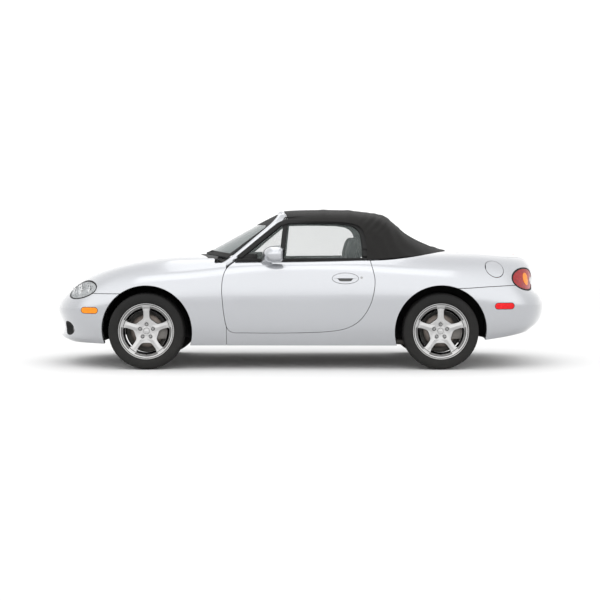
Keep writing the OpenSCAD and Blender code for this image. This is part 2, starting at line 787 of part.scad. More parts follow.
tyre_half = tyre_width / 2;
bead_radius = rim_radius - 15;
module tyre() {
    color("#222222") spin_profile() polygon([
        [bead_radius, -80], [rim_radius, -84], [rim_radius + 10, -tyre_half + 3],
        [rim_radius + 30, -tyre_half], [tyre_radius - 24, -tyre_half + 4],
        [tyre_radius - 8, -tyre_half + 14], [tyre_radius, -tyre_half + 32],
        [tyre_radius, tyre_half - 32], [tyre_radius - 8, tyre_half - 14],
        [tyre_radius - 24, tyre_half - 4], [rim_radius + 30, tyre_half],
        [rim_radius + 10, tyre_half - 3], [rim_radius, 84], [bead_radius, 80]]);
}

barrel_radius = rim_radius - 34;
spoke_plane = 46;
module rim() {
    color("lightgray") union() {
        spin_profile() polygon([
            [bead_radius, -84], [rim_radius - 2, -88], [rim_radius - 2, -94], [rim_radius - 12, -94],
            [barrel_radius, -66], [barrel_radius, 60], [rim_radius - 16, 84], [rim_radius - 8, 92],
            [rim_radius - 2, 92], [rim_radius - 2, 88], [bead_radius, 84]]);
        translate([0, spoke_plane - 16, 0]) rotate([-90, 0, 0]) cylinder(r = 76, h = 28);
        for (k = [0:4]) rotate([0, 72 * k, 0]) translate([0, spoke_plane + 9, 0]) rotate([90, 0, 0])
            linear_extrude(22) polygon([[-34, 60], [-28, 100], [-24, 140], [-31, 190],
                [31, 190], [24, 140], [28, 100], [34, 60]]);
    }
}

module disc() {
    color("gray") spin_profile() polygon([
        [spindle_radius + running_clearance, -14], [disc_radius, -14], [disc_radius, 6], [80, 6],
        [76, spoke_plane - 16], [spindle_radius + running_clearance, spoke_plane - 16]]);
}

// ---- cabin --------------------------------------------------------------------------------

module rounded_pad(x, y, z, r) {
    hull() for (i = [-1, 1], j = [-1, 1], k = [-1, 1])
        translate([i * (x / 2 - r), j * (y / 2 - r), k * (z / 2 - r)]) sphere(r = r, $fn = 14);
}

module left_seat() {
    color("dimgray") one_mesh() translate([0, seat_offset, 0]) union() {
        translate([-95, 0, 314]) rotate([0, -9, 0]) rounded_pad(530, seat_width, 150, 48);
        translate([-372, 0, 590]) rotate([0, -20, 0]) rounded_pad(130, seat_width - 23, 560, 52);
        translate([-456, 0, 905]) rotate([0, -14, 0]) rounded_pad(104, 262, 236, 46);
        translate([-105, 0, 222]) cube([417, 371, 41], center = true);
    }
}

column_shaft_radius = 14;
module dashboard() {
    color("#333333") difference() {
        union() {
            translate([0, 664, 0]) rotate([90, 0, 0]) linear_extrude(1328) polygon(concat(
                [[634, 822], [634, 846], [590, 847]],
                through([[520, 848], [440, 838], [392, 810], [372, 770], [385, 720],
                    [430, 660], [470, 600]]), [[572, 570], [572, 822]]));
            translate([0, 95, 0]) rotate([90, 0, 0]) linear_extrude(190) polygon(concat(
                [[520, 401], [-560, 401]], through([[-560, 500], [-420, 520], [-180, 508], [-40, 470],
                    [160, 470], [300, 520], [400, 640], [520, 660]])));
            translate([60, 0, 460]) rotate_extrude($fn = 32) polygon([[0, 0], [44, 0], [15, 48], [15, 62],
                [26, 74], [26, 92], [15, 104], [0, 106]]);
            column_place(70) cylinder(r = 42, h = 190);
        }
        column_place(60) cylinder(r = column_shaft_radius + running_clearance, h = 90);
    }
}

// Along the steering column's axis, from the steering wheel towards the dashboard
module column_place(along) {
    translate(wheel_centre) rotate([0, 90 + column_tilt, 0]) translate([0, 0, along]) children();
}

wheel_centre = [225, seat_offset, 690];
module steering_wheel() {
    color("#333333") column_place(0) union() {
        rotate_extrude($fn = 72) translate([steering_wheel_radius - 15, 0]) circle(r = 15, $fn = 24);
        translate([0, 0, -6]) cylinder(r = 62, h = 40);
        for (a = [0, 90, 180, 270]) rotate([0, 0, a]) translate([30, -14, 0])
            cube([steering_wheel_radius - 50, 28, 14]);
        cylinder(r = 30, h = 64);
        cylinder(r = column_shaft_radius, h = 130);
    }
}

// ---- assembly -------------------------------------------------------------------------------

module right() { mirror([0, 1, 0]) children(); }

underbody();
rear_body();
scuttle_panel();
left_front_wing();
right() left_front_wing();  // right_front_wing
front_bumper();
rear_bumper();
bonnet();
boot_lid();
fuel_flap();
left_door();
right() left_door();  // right_door
left_door_glass();
right() left_door_glass();  // right_door_glass
left_mirror();
right() left_mirror();  // right_mirror
windscreen_frame();
windscreen();
soft_top();
rear_window();
headlamps();
tail_lamps();
dashboard();
left_seat();
right() left_seat();  // right_seat
steering_wheel();
engine();
radiator();
exhaust();
front_suspension();
rear_suspension();
left_front_knuckle();
right() left_front_knuckle();  // right_front_knuckle
at_wheel(front_axle_x, front_track_half) tyre();  // left_front_tyre
right() at_wheel(front_axle_x, front_track_half) tyre();  // right_front_tyre
at_wheel(rear_axle_x, rear_track_half) tyre();  // left_rear_tyre
right() at_wheel(rear_axle_x, rear_track_half) tyre();  // right_rear_tyre
at_wheel(front_axle_x, front_track_half) rim();  // left_front_rim
right() at_wheel(front_axle_x, front_track_half) rim();  // right_front_rim
at_wheel(rear_axle_x, rear_track_half) rim();  // left_rear_rim
right() at_wheel(rear_axle_x, rear_track_half) rim();  // right_rear_rim
at_wheel(front_axle_x, front_track_half) disc();  // left_front_disc
right() at_wheel(front_axle_x, front_track_half) disc();  // right_front_disc
at_wheel(rear_axle_x, rear_track_half) disc();  // left_rear_disc
right() at_wheel(rear_axle_x, rear_track_half) disc();  // right_rear_disc
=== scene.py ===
import math
import bmesh
import bpy
import numpy as np
from mathutils import Matrix, Vector


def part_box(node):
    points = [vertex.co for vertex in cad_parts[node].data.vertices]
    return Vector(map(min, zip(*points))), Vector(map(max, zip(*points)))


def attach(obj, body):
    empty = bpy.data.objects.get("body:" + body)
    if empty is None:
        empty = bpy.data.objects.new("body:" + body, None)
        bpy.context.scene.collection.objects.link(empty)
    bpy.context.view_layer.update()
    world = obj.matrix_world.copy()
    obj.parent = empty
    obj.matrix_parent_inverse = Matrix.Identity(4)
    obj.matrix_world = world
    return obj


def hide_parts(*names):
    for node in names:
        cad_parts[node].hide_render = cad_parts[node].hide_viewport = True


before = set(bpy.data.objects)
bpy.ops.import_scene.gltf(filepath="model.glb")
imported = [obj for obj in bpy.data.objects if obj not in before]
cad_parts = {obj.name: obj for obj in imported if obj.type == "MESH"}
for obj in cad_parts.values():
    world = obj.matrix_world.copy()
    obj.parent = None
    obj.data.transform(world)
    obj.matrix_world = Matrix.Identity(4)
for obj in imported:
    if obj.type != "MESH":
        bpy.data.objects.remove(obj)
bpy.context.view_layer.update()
mm = 0.001

# where things are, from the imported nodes


def nodeCentre(node):
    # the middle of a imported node's box
    low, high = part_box(node)
    return (np.array(low) + np.array(high)) / 2


frontHub = nodeCentre("left_front_tyre")
rearHub = nodeCentre("left_rear_tyre")
frontAxleX, rearAxleX, hubZ = frontHub[0], rearHub[0], frontHub[2]

# meshes from arrays


def makeMesh(name, points, faces, normals=None):
    # points (n,3); faces is a list of (m,3) or (m,4) arrays
    mesh = bpy.data.meshes.new(name)
    faces = [np.asarray(f, dtype=np.int64) for f in faces if len(f)]
    sizes = np.concatenate([np.full(len(f), f.shape[1]) for f in faces])
    corners = np.concatenate([f.ravel() for f in faces])
    mesh.vertices.add(len(points))
    mesh.vertices.foreach_set("co", np.asarray(points, dtype=np.float32).ravel())
    mesh.loops.add(len(corners))
    mesh.loops.foreach_set("vertex_index", corners.astype(np.int32))
    mesh.polygons.add(len(sizes))
    starts = np.concatenate([[0], np.cumsum(sizes)[:-1]])
    mesh.polygons.foreach_set("loop_start", starts.astype(np.int32))
    mesh.polygons.foreach_set("use_smooth", np.ones(len(sizes), dtype=bool))
    mesh.update(calc_edges=True)
    mesh.validate()
    if normals is not None and len(mesh.vertices) == len(normals):
        mesh.normals_split_custom_set_from_vertices(np.asarray(normals, dtype=np.float32).tolist())
    piece = bpy.data.objects.new(name, mesh)
    bpy.context.scene.collection.objects.link(piece)
    return piece


def gridFaces(rows, columns, wrapRows=False, wrapColumns=False):
    # quads of a rows x columns sheet of points, numbered row by row
    i = np.arange(rows if wrapRows else rows - 1)
    j = np.arange(columns if wrapColumns else columns - 1)
    i, j = [a.ravel() for a in np.meshgrid(i, j, indexing="ij")]
    nextI, nextJ = (i + 1) % rows, (j + 1) % columns
    return np.stack([i * columns + j, nextI * columns + j, nextI * columns + nextJ, i * columns + nextJ], 1)


def sheetMesh(name, points, wrapRows=False, wrapColumns=False, capEnds=False):
    # points (rows, columns, 3); capEnds closes the first and last row with a centre point each
    rows, columns = points.shape[:2]
    faces = [gridFaces(rows, columns, wrapRows, wrapColumns)]
    flat = points.reshape(-1, 3)
    if capEnds:
        ring = np.arange(columns)
        after = (ring + 1) % columns
        first, last = len(flat), len(flat) + 1
        flat = np.concatenate([flat, points[:1].mean(1), points[-1:].mean(1)])
        faces.append(np.stack([after, ring, np.full(columns, first)], 1))
        start = (rows - 1) * columns
        faces.append(np.stack([start + ring, start + after, np.full(columns, last)], 1))
    return makeMesh(name, flat, faces)


def outward(piece):
    # merges doubles and turns every face outwards
    work = bmesh.new()
    work.from_mesh(piece.data)
    bmesh.ops.remove_doubles(work, verts=work.verts, dist=1e-6)
    bmesh.ops.recalc_face_normals(work, faces=work.faces)
    work.to_mesh(piece.data)
    work.free()
    return piece


def joinPieces(name, pieces):
    # one object out of several, its materials kept
    bpy.ops.object.select_all(action="DESELECT")
    for piece in pieces:
        piece.select_set(True)
    bpy.context.view_layer.objects.active = pieces[0]
    bpy.ops.object.join()
    pieces[0].name = name
    return pieces[0]


def addModifier(piece, kind, **settings):
    modifier = piece.modifiers.new(kind.title(), kind)
    for key, value in settings.items():
        setattr(modifier, key, value)
    return modifier


def finishPiece(piece, material, body="body", replaced=()):
    # its material, the body it rides on and the imported nodes it stands for
    if material is not None:
        piece.data.materials.clear()
        piece.data.materials.append(material)
    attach(piece, body)
    if replaced:
        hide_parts(*replaced)
    return piece


def readAll(items, key, width=1, kind=np.float32):
    # one value, or one vector, from every item of a mesh
    values = np.empty(len(items) * width, dtype=kind)
    items.foreach_get(key, values)
    return values.reshape(-1, width) if width > 1 else values


def mirrorPiece(piece, name):
    # the same piece on the car's other side
    mesh = piece.data
    points = readAll(mesh.vertices, "co", 3) * [1, -1, 1]
    loops = readAll(mesh.loops, "vertex_index", kind=np.int32)
    starts, totals, places = [readAll(mesh.polygons, key, kind=np.int32)
                              for key in ("loop_start", "loop_total", "material_index")]
    faces, order = [], []
    for size in np.unique(totals):
        chosen = np.nonzero(totals == size)[0]
        faces.append(loops[starts[chosen][:, None] + np.arange(size)][:, ::-1])
        order.append(places[chosen])
    kept = None
    if mesh.has_custom_normals:
        kept = np.zeros((len(points), 3))
        kept[loops] = readAll(mesh.corner_normals, "vector", 3) * [1, -1, 1]
    copy = makeMesh(name, points, faces, kept)
    for material in mesh.materials:
        copy.data.materials.append(material)
    copy.data.polygons.foreach_set("material_index", np.concatenate(order).astype(np.int32))
    for modifier in piece.modifiers:
        twin = copy.modifiers.new(modifier.name, modifier.type)
        for key in ("width", "segments", "limit_method", "angle_limit", "levels", "render_levels",
                    "thickness", "offset"):
            if hasattr(modifier, key):
                setattr(twin, key, getattr(modifier, key))
    return copy


# sweeps and turned shapes


def smoothPath(points, steps=12, closed=False):
    # a smooth curve through points: Catmull-Rom, worked out for all spans at once
    points = np.asarray(points, dtype=float)
    if closed:
        padded = np.concatenate([points[-1:], points, points[:2]])
    else:
        padded = np.concatenate([[2 * points[0] - points[1]], points, [2 * points[-1] - points[-2]]])
    a, b, c, d = padded[:-3], padded[1:-2], padded[2:-1], padded[3:]
    f = (np.arange(steps) / steps)[None, :, None]
    a, b, c, d = [x[:, None, :] for x in (a, b, c, d)]
    curve = 0.5 * (2 * b + (c - a) * f + (2 * a - 5 * b + 4 * c - d) * f ** 2 + (3 * b - a - 3 * c + d) * f ** 3)
    curve = curve.reshape(-1, points.shape[1])
    return curve if closed else np.concatenate([curve, points[-1:]])


def unit(vectors):
    # each vector divided by its length
    return vectors / np.maximum(np.linalg.norm(vectors, axis=-1, keepdims=True), 1e-12)


def sweep(name, path, outline, closed=False, up=(0, 0, 1), scale=None):
    # carries a closed outline (side, up) along a path; scale is one factor per path point
    path, outline = np.asarray(path, dtype=float), np.asarray(outline, dtype=float)
    if closed:
        along = unit(np.roll(path, -1, 0) - np.roll(path, 1, 0))
    else:
        along = unit(np.gradient(path, axis=0))
    up = np.broadcast_to(np.asarray(up, dtype=float), path.shape)
    side = unit(np.cross(along, up))
    up = np.cross(side, along)
    scale = np.ones(len(path)) if scale is None else np.asarray(scale)
    points = path[:, None] + scale[:, None, None] * (
        outline[None, :, 0:1] * side[:, None] + outline[None, :, 1:2] * up[:, None])
    piece = sheetMesh(name, points, wrapRows=closed, wrapColumns=True, capEnds=not closed)
    return outward(piece)


def ovalOutline(width, height, count=16, power=2.0):
    # a superellipse: |x/a|^p + |y/b|^p = 1
    a = np.arange(count) * 2 * np.pi / count
    c, s = np.cos(a), np.sin(a)
    return np.stack([width / 2 * np.sign(c) * np.abs(c) ** (2 / power),
                     height / 2 * np.sign(s) * np.abs(s) ** (2 / power)], 1)


def tube(name, points, radius, steps, count):
    # a circle carried along the points, or along a smooth path through them
    path = smoothPath(points, steps) if steps else points
    return sweep(name, path, ovalOutline(2 * radius, 2 * radius, count), up=(0.13, 0.21, 0.97))


def turned(name, profile, centre, axis=(0, 1, 0), count=96, closedProfile=False):
    # turns a profile of (distance along the axis, radius) about the axis
    profile = np.asarray(profile, dtype=float)
    axis = unit(np.asarray(axis, dtype=float))
    across = unit(np.cross(axis, [0.0, 0.0, 1.0] if abs(axis[2]) < 0.9 else [1.0, 0.0, 0.0]))
    third = np.cross(axis, across)
    angle = np.arange(count) * 2 * np.pi / count
    ring = np.cos(angle)[:, None] * across + np.sin(angle)[:, None] * third
    points = np.asarray(centre) + profile[:, None, :1] * axis + profile[:, None, 1:2] * ring[None]
    piece = sheetMesh(name, points, wrapRows=closedProfile, wrapColumns=True)
    return outward(piece)


def boxShape(name, low, high, bevel):
    # a box between two corners, with rounded edges
    low, high = np.asarray(low, dtype=float), np.asarray(high, dtype=float)
    corner = np.array([[0, 0, 0], [1, 0, 0], [1, 1, 0], [0, 1, 0], [0, 0, 1], [1, 0, 1], [1, 1, 1], [0, 1, 1]])
    faces = [[0, 3, 2, 1], [4, 5, 6, 7], [0, 1, 5, 4], [1, 2, 6, 5], [2, 3, 7, 6], [3, 0, 4, 7]]
    piece = makeMesh(name, low + corner * (high - low), [np.array(faces)])
    if bevel:
        addModifier(piece, "BEVEL", width=bevel, segments=3, limit_method="ANGLE", angle_limit=math.radians(35),
                    harden_normals=False)
    return piece


# spline surfaces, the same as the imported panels'


def weights(f):
    # the four weights of a uniform cubic B-spline, f along one span
    return np.stack([(1 - f) ** 3, 3 * f ** 3 - 6 * f ** 2 + 4, -3 * f ** 3 + 3 * f ** 2 + 3 * f + 1, f ** 3],
                    -1) / 6


def slopes(f):
    # how fast those weights change
    return np.stack([-(1 - f) ** 2, 3 * f ** 2 - 4 * f, -3 * f ** 2 + 2 * f + 1, f ** 2], -1) / 2


def padNet(net, closedEnds):
    # a row and a column more at each side: reflected across the middle, or run straight on
    net = np.asarray(net, dtype=float)
    flip = np.array([1, -1, 1])
    first = net[1] * flip if closedEnds else 2 * net[0] - net[1]
    last = net[-2] * flip if closedEnds else 2 * net[-1] - net[-2]
    net = np.concatenate([first[None], net, last[None]])
    return np.concatenate([2 * net[:, :1] - net[:, 1:2], net, net[:, -2:-1] * flip], 1)


def netSurface(padded):
    # returns a function of (s, t) giving points in metres and unit normals
    rows, columns = padded.shape[0] - 3, padded.shape[1] - 3

    def at(s, t):
        i = np.clip(np.floor(s).astype(int), 0, rows - 1)
        j = np.clip(np.floor(t).astype(int), 0, columns - 1)
        block = padded[(i[:, None] + np.arange(4))[:, :, None], (j[:, None] + np.arange(4))[:, None, :]]
        ws, wt, ds, dt = weights(s - i), weights(t - j), slopes(s - i), slopes(t - j)
        point = np.einsum("na,nb,nabk->nk", ws, wt, block)
        alongS = np.einsum("na,nb,nabk->nk", ds, wt, block)
        alongT = np.einsum("na,nb,nabk->nk", ws, dt, block)
        return point * mm, unit(np.cross(alongS, alongT))

    return at


def cutTriangles(places, faces, value):
    # keeps the part of the triangles where value > 0, with new points where it is 0;
    # places (n,k) are whatever is carried along each edge
    inside = value > 0
    count = inside[faces].sum(1)
    whole = faces[count == 3]
    made, extra, tag = [whole], [], []
    base = len(places)
    for wanted in (1, 2):
        some = faces[count == wanted]
        if not len(some):
            continue
        odd = inside[some] if wanted == 1 else ~inside[some]
        turn = odd.argmax(1)
        some = np.take_along_axis(some, (np.arange(3)[None] + turn[:, None]) % 3, 1)
        a, b, c = some.T
        for other in (b, c):
            extra.append(np.stack([np.minimum(a, other), np.maximum(a, other)], 1))
        tag.append((wanted, a, b, c, len(a)))
    if not extra:
        return places, whole
    edges, number = np.unique(np.concatenate(extra), axis=0, return_inverse=True)
    number = number.ravel() + base
    at = 0
    for wanted, a, b, c, n in tag:
        ab, ac = number[at:at + n], number[at + n:at + 2 * n]
        at += 2 * n
        if wanted == 1:
            made.append(np.stack([a, ab, ac], 1))
        else:
            made.append(np.stack([ab, b, c], 1))
            made.append(np.stack([ab, c, ac], 1))
    low, high = value[edges[:, 0]], value[edges[:, 1]]
    f = (low / (low - high))[:, None]
    fresh = places[edges[:, 0]] * (1 - f) + places[edges[:, 1]] * f
    return np.concatenate([places, fresh]), np.concatenate(made)


def awayFromZero(value):
    # no slivers along a cut: what is within 0.02 mm of it counts as inside
    return np.where(np.abs(value) < 2e-5, 2e-5, value)


def compact(faces, *arrays):
    # leaves out the points that no face uses
    used, number = np.unique(faces, return_inverse=True)
    return [number.reshape(faces.shape)] + [a[used] for a in arrays]


def openEdges(faces):
    # the directed edges that only one face has
    edges = np.concatenate([faces[:, [0, 1]], faces[:, [1, 2]], faces[:, [2, 0]]])
    span = faces.max() + 1
    key = edges[:, 0] * span + edges[:, 1]
    back = edges[:, 1] * span + edges[:, 0]
    return edges[~np.isin(key, back)]


def patch(surface, sRange, tRange, keep, density=(14, 9)):
    # a piece of a surface, cut by keep functions of its points; returns faces, points, normals
    s = np.linspace(*sRange, int(round((sRange[1] - sRange[0]) * density[0])) + 1)
    t = np.linspace(*tRange, int(round((tRange[1] - tRange[0]) * density[1])) + 1)
    grid = np.stack(np.meshgrid(s, t, indexing="ij"), -1).reshape(-1, 2)
    quads = gridFaces(len(s), len(t))
    faces = np.concatenate([quads[:, [0, 1, 2]], quads[:, [0, 2, 3]]])
    for test in keep:
        grid, faces = cutTriangles(grid, faces, awayFromZero(test(surface(grid[:, 0], grid[:, 1])[0])))
        faces, grid = compact(faces, grid)
    points, normals = surface(grid[:, 0], grid[:, 1])
    return faces, points, normals


def bothHalves(faces, points, normals):
    # a left half and its mirror image, joined along the middle
    points = np.where(np.abs(points) < 2e-6, 0.0, points)
    n = len(points)
    flip = np.array([1, -1, 1])
    onMiddle = points[:, 1] == 0
    twin = np.where(onMiddle, np.arange(n), np.arange(n) + n)
    normals = np.where(onMiddle[:, None], unit(normals * [1, 0, 1]), normals)
    faces = np.concatenate([faces, twin[faces][:, ::-1]])
    return compact(faces, np.concatenate([points, points * flip]), np.concatenate([normals, normals * flip]))


def panelMesh(name, faces, points, normals, depth, rounding):
    # a skin with its edges rolled over and turned in, and a lining behind it
    rim = openEdges(faces)
    n = len(points)
    after = np.full(n, -1)
    before = np.full(n, -1)
    after[rim[:, 0]], before[rim[:, 1]] = rim[:, 1], rim[:, 0]
    edge = np.unique(rim)
    ahead, behind = after[edge], before[edge]
    ahead = np.where(ahead < 0, edge, ahead)
    behind = np.where(behind < 0, edge, behind)
    ahead2 = np.where(after[ahead] < 0, ahead, after[ahead])
    behind2 = np.where(before[behind] < 0, behind, before[behind])
    way = unit(unit(points[ahead] - points[edge] + 1e-9) + unit(points[edge] - points[behind] + 1e-9)
               + 0.5 * unit(points[ahead2] - points[behind2] + 1e-9))
    normal = normals[edge]
    out = unit(np.cross(way, normal))
    spot = np.full(n, -1)
    spot[edge] = np.arange(len(edge))
    allPoints, allNormals = [points], [normals]
    bands, last, offset = [], edge, n
    for angle, sink in ((30, 0), (60, 0), (90, 0), (90, depth)):
        a = math.radians(angle)
        ring = points[edge] + rounding * (math.sin(a) * out - (1 - math.cos(a)) * normal) - sink * normal
        allPoints.append(ring)
        allNormals.append(math.cos(a) * normal + math.sin(a) * out)
        here = offset + np.arange(len(edge))
        a0, b0 = last[spot[rim[:, 0]]], last[spot[rim[:, 1]]]
        a1, b1 = here[spot[rim[:, 0]]], here[spot[rim[:, 1]]]
        bands.append(np.stack([b0, a0, a1, b1], 1))
        last, offset = here, offset + len(edge)
    meshFaces = [faces, *bands]
    allPoints.append(points - (depth + rounding) * normals)
    allNormals.append(-normals)
    meshFaces.append(faces[:, ::-1] + offset)
    a0, b0 = last[spot[rim[:, 0]]], last[spot[rim[:, 1]]]
    meshFaces.append(np.stack([b0, a0, rim[:, 0] + offset, rim[:, 1] + offset], 1))
    return makeMesh(name, np.concatenate(allPoints), meshFaces, np.concatenate(allNormals))


# outlines


def outlineDistance(points2, outline):
    # signed distance to a closed outline, positive inside
    outline = np.asarray(outline, dtype=float)
    best = np.full(len(points2), 1e9)
    crossing = np.zeros(len(points2), dtype=bool)
    for start, end in zip(outline, np.roll(outline, -1, 0)):
        way = end - start
        length = way @ way
        if length < 1e-14:
            continue
        f = np.clip((points2 - start) @ way / length, 0, 1)
        best = np.minimum(best, ((points2 - start - f[:, None] * way) ** 2).sum(1))
        above = (start[1] > points2[:, 1]) != (end[1] > points2[:, 1])
        with np.errstate(divide="ignore", invalid="ignore"):
            x = start[0] + (points2[:, 1] - start[1]) / (end[1] - start[1]) * way[0]
        crossing ^= above & (points2[:, 0] < x)
    return np.where(crossing, 1, -1) * np.sqrt(best)


sideView, planView = [0, 2], [0, 1]

# shared shader effects


def node(tree, kind, inputs=None, **settings):
    made = tree.nodes.new(kind)
    for key, value in settings.items():
        setattr(made, key, value)
    for key, value in (inputs or {}).items():
        socket = made.inputs[key]
        if isinstance(value, bpy.types.NodeSocket):
            tree.links.new(value, socket)
        else:
            socket.default_value = value
    return made


def ramp(tree, factor, stops):
    made = node(tree, "ShaderNodeValToRGB", {"Fac": factor})
    while len(made.color_ramp.elements) < len(stops):
        made.color_ramp.elements.new(0.5)
    for element, (place, shade) in zip(made.color_ramp.elements, stops):
        element.position = place
        element.color = (*shade, 1) if hasattr(shade, "__len__") else (shade, shade, shade, 1)
    return made.outputs["Color"]


def effectGroup(name, inputs, outputs):
    # an empty node group with float inputs {name: start value} and float outputs
    group = bpy.data.node_groups.new(name, "ShaderNodeTree")
    for key, value in inputs.items():
        group.interface.new_socket(name=key, in_out="INPUT", socket_type="NodeSocketFloat").default_value = value
    for key in outputs:
        group.interface.new_socket(name=key, in_out="OUTPUT", socket_type="NodeSocketFloat")
    return group, group.nodes.new("NodeGroupInput"), group.nodes.new("NodeGroupOutput")


def maths(tree, operation, a, b=0.0, clamp=False):
    return node(tree, "ShaderNodeMath", {0: a, 1: b}, operation=operation, use_clamp=clamp).outputs[0]


def makeGrainGroup():
    # two sizes of noise: Height for bump, Mask for slow changes of tone
    group, start, end = effectGroup("grain", {"Fine": 900.0, "Coarse": 8.0}, ["Height", "Mask"])
    place = node(group, "ShaderNodeTexCoord").outputs["Object"]
    fine = node(group, "ShaderNodeTexNoise", {"Vector": place, "Scale": start.outputs["Fine"], "Detail": 3.0})
    coarse = node(group, "ShaderNodeTexNoise", {"Vector": place, "Scale": start.outputs["Coarse"], "Detail": 4.0})
    group.links.new(fine.outputs[0], end.inputs["Height"])
    group.links.new(coarse.outputs[0], end.inputs["Mask"])
    return group


def makeDustGroup():
    # road dust: thick below Low metres, gone above High, broken up by noise
    group, start, end = effectGroup("roadDust", {"Low": 0.15, "High": 0.6, "Amount": 0.3}, ["Mask"])
    place = node(group, "ShaderNodeTexCoord").outputs["Object"]
    height = node(group, "ShaderNodeSeparateXYZ", {0: place}).outputs["Z"]
    fade = node(group, "ShaderNodeMapRange", {"Value": height, "From Min": start.outputs["Low"],
                "From Max": start.outputs["High"], "To Min": 1.0, "To Max": 0.0}).outputs[0]
    noise = node(group, "ShaderNodeTexNoise", {"Vector": place, "Scale": 24.0, "Detail": 6.0}).outputs[0]
    both = maths(group, "MULTIPLY", fade, noise)
    group.links.new(maths(group, "MULTIPLY", both, start.outputs["Amount"], clamp=True), end.inputs["Mask"])
    return group


def makeWeaveGroup():
    # warp and weft threads crossing, in threads per metre
    group, start, end = effectGroup("weave", {"Threads": 700.0}, ["Height", "Mask"])
    place = node(group, "ShaderNodeTexCoord").outputs["Object"]
    split = node(group, "ShaderNodeSeparateXYZ", {0: place})
    rate = maths(group, "MULTIPLY", start.outputs["Threads"], 6.2832)
    across = maths(group, "ADD", split.outputs["Y"], split.outputs["Z"])
    a = maths(group, "SINE", maths(group, "MULTIPLY", split.outputs["X"], rate))
    b = maths(group, "SINE", maths(group, "MULTIPLY", across, rate))
    group.links.new(maths(group, "MULTIPLY_ADD", maths(group, "MULTIPLY", a, b), 0.5), end.inputs["Height"])
    noise = node(group, "ShaderNodeTexNoise", {"Vector": place, "Scale": 60.0, "Detail": 5.0}).outputs[0]
    group.links.new(noise, end.inputs["Mask"])
    return group


def makeWearGroup():
    # worn edges, from how sharply the surface bends
    group, start, end = effectGroup("edgeWear", {"Threshold": 0.55}, ["Mask"])
    bend = node(group, "ShaderNodeNewGeometry").outputs["Pointiness"]
    high = maths(group, "ADD", start.outputs["Threshold"], 0.08)
    mask = node(group, "ShaderNodeMapRange",
                {"Value": bend, "From Min": start.outputs["Threshold"], "From Max": high})
    group.links.new(mask.outputs[0], end.inputs["Mask"])
    return group


grainGroup, dustGroup = makeGrainGroup(), makeDustGroup()
weaveGroup, wearGroup = makeWeaveGroup(), makeWearGroup()


def effect(tree, group, **values):
    made = tree.nodes.new("ShaderNodeGroup")
    made.node_tree = group
    for key, value in values.items():
        made.inputs[key].default_value = value
    return made


def newMaterial(name, **sockets):
    # a Principled material; names of sockets are given with _ for spaces
    material = bpy.data.materials.new(name)
    material.use_nodes = True
    tree = material.node_tree
    shader = next(n for n in tree.nodes if n.type == "BSDF_PRINCIPLED")
    for key, value in sockets.items():
        value = (*value, 1) if hasattr(value, "__len__") and len(value) == 3 else value
        shader.inputs[key.replace("_", " ")].default_value = value
    return material, tree, shader


def blendColour(tree, factor, a, b):
    mix = node(tree, "ShaderNodeMix", {0: factor}, data_type="RGBA")
    for socket, value in ((mix.inputs[6], a), (mix.inputs[7], b)):
        if isinstance(value, bpy.types.NodeSocket):
            tree.links.new(value, socket)
        else:
            socket.default_value = (*value, 1)
    return mix.outputs[2]


def addBump(tree, shader, height, strength, distance):
    bump = node(tree, "ShaderNodeBump", {"Height": height, "Strength": strength, "Distance": distance})
    tree.links.new(bump.outputs[0], shader.inputs["Normal"])


def grained(name, dark, light, roughness=(0.4, 0.55), fine=900.0, coarse=8.0, bump=0.15, depth=0.0004,
            dust=0.0, wear=None, **sockets):
    # the common finish: colour drifts between two tones, fine grain in the bump, dust low down
    material, tree, shader = newMaterial(name, **sockets)
    grain = effect(tree, grainGroup, Fine=fine, Coarse=coarse)
    colour = ramp(tree, grain.outputs["Mask"], [(0.3, dark), (0.7, light)])
    if wear:
        worn = effect(tree, wearGroup, Threshold=wear[0])
        colour = blendColour(tree, worn.outputs["Mask"], colour, wear[1])
    if dust:
        dirt = effect(tree, dustGroup, Amount=dust)
        colour = blendColour(tree, dirt.outputs["Mask"], colour, (0.23, 0.21, 0.18))
    tree.links.new(colour, shader.inputs["Base Color"])
    tree.links.new(ramp(tree, grain.outputs["Mask"], [(0.25, roughness[0]), (0.75, roughness[1])]),
                   shader.inputs["Roughness"])
    if bump:
        addBump(tree, shader, grain.outputs["Height"], bump, depth)
    return material


def makePaint():
    # silver metallic: fine flakes vary the base's tone, under a smooth clear coat
    material, tree, shader = newMaterial("silverPaint", Metallic=0.8, Coat_Weight=1.0, Coat_Roughness=0.02,
                                         Coat_IOR=1.5)
    grain = effect(tree, grainGroup, Fine=1500.0, Coarse=3.0)
    flake = ramp(tree, grain.outputs["Height"], [(0.3, (0.38, 0.39, 0.41)), (0.7, (0.49, 0.50, 0.52))])
    dirt = effect(tree, dustGroup, Low=0.1, High=0.42, Amount=0.16)
    colour = blendColour(tree, dirt.outputs["Mask"], flake, (0.33, 0.31, 0.28))
    tree.links.new(colour, shader.inputs["Base Color"])
    tree.links.new(ramp(tree, grain.outputs["Mask"], [(0.3, 0.17), (0.7, 0.21)]), shader.inputs["Roughness"])
    return material


def makeCloth(name, dark, light, threads, sheen, bump=0.5, depth=0.0006):
    # woven cloth: threads in the bump, slow fading in the colour, and painted shade that darkens the hollows
    # between threads
    material, tree, shader = newMaterial(name, Sheen_Weight=sheen, Sheen_Roughness=0.5, Specular_IOR_Level=0.25)
    weave = effect(tree, weaveGroup, Threads=threads)
    colour = ramp(tree, weave.outputs["Mask"], [(0.3, dark), (0.7, light)])
    # painted shade: the colour goes to the light tone on the thread crests and stays darker in the hollows
    # between them
    tree.links.new(blendColour(tree, weave.outputs["Height"], colour, light), shader.inputs["Base Color"])
    tree.links.new(ramp(tree, weave.outputs["Mask"], [(0.3, 0.82), (0.7, 0.95)]), shader.inputs["Roughness"])
    addBump(tree, shader, weave.outputs["Height"], bump, depth)
    return material


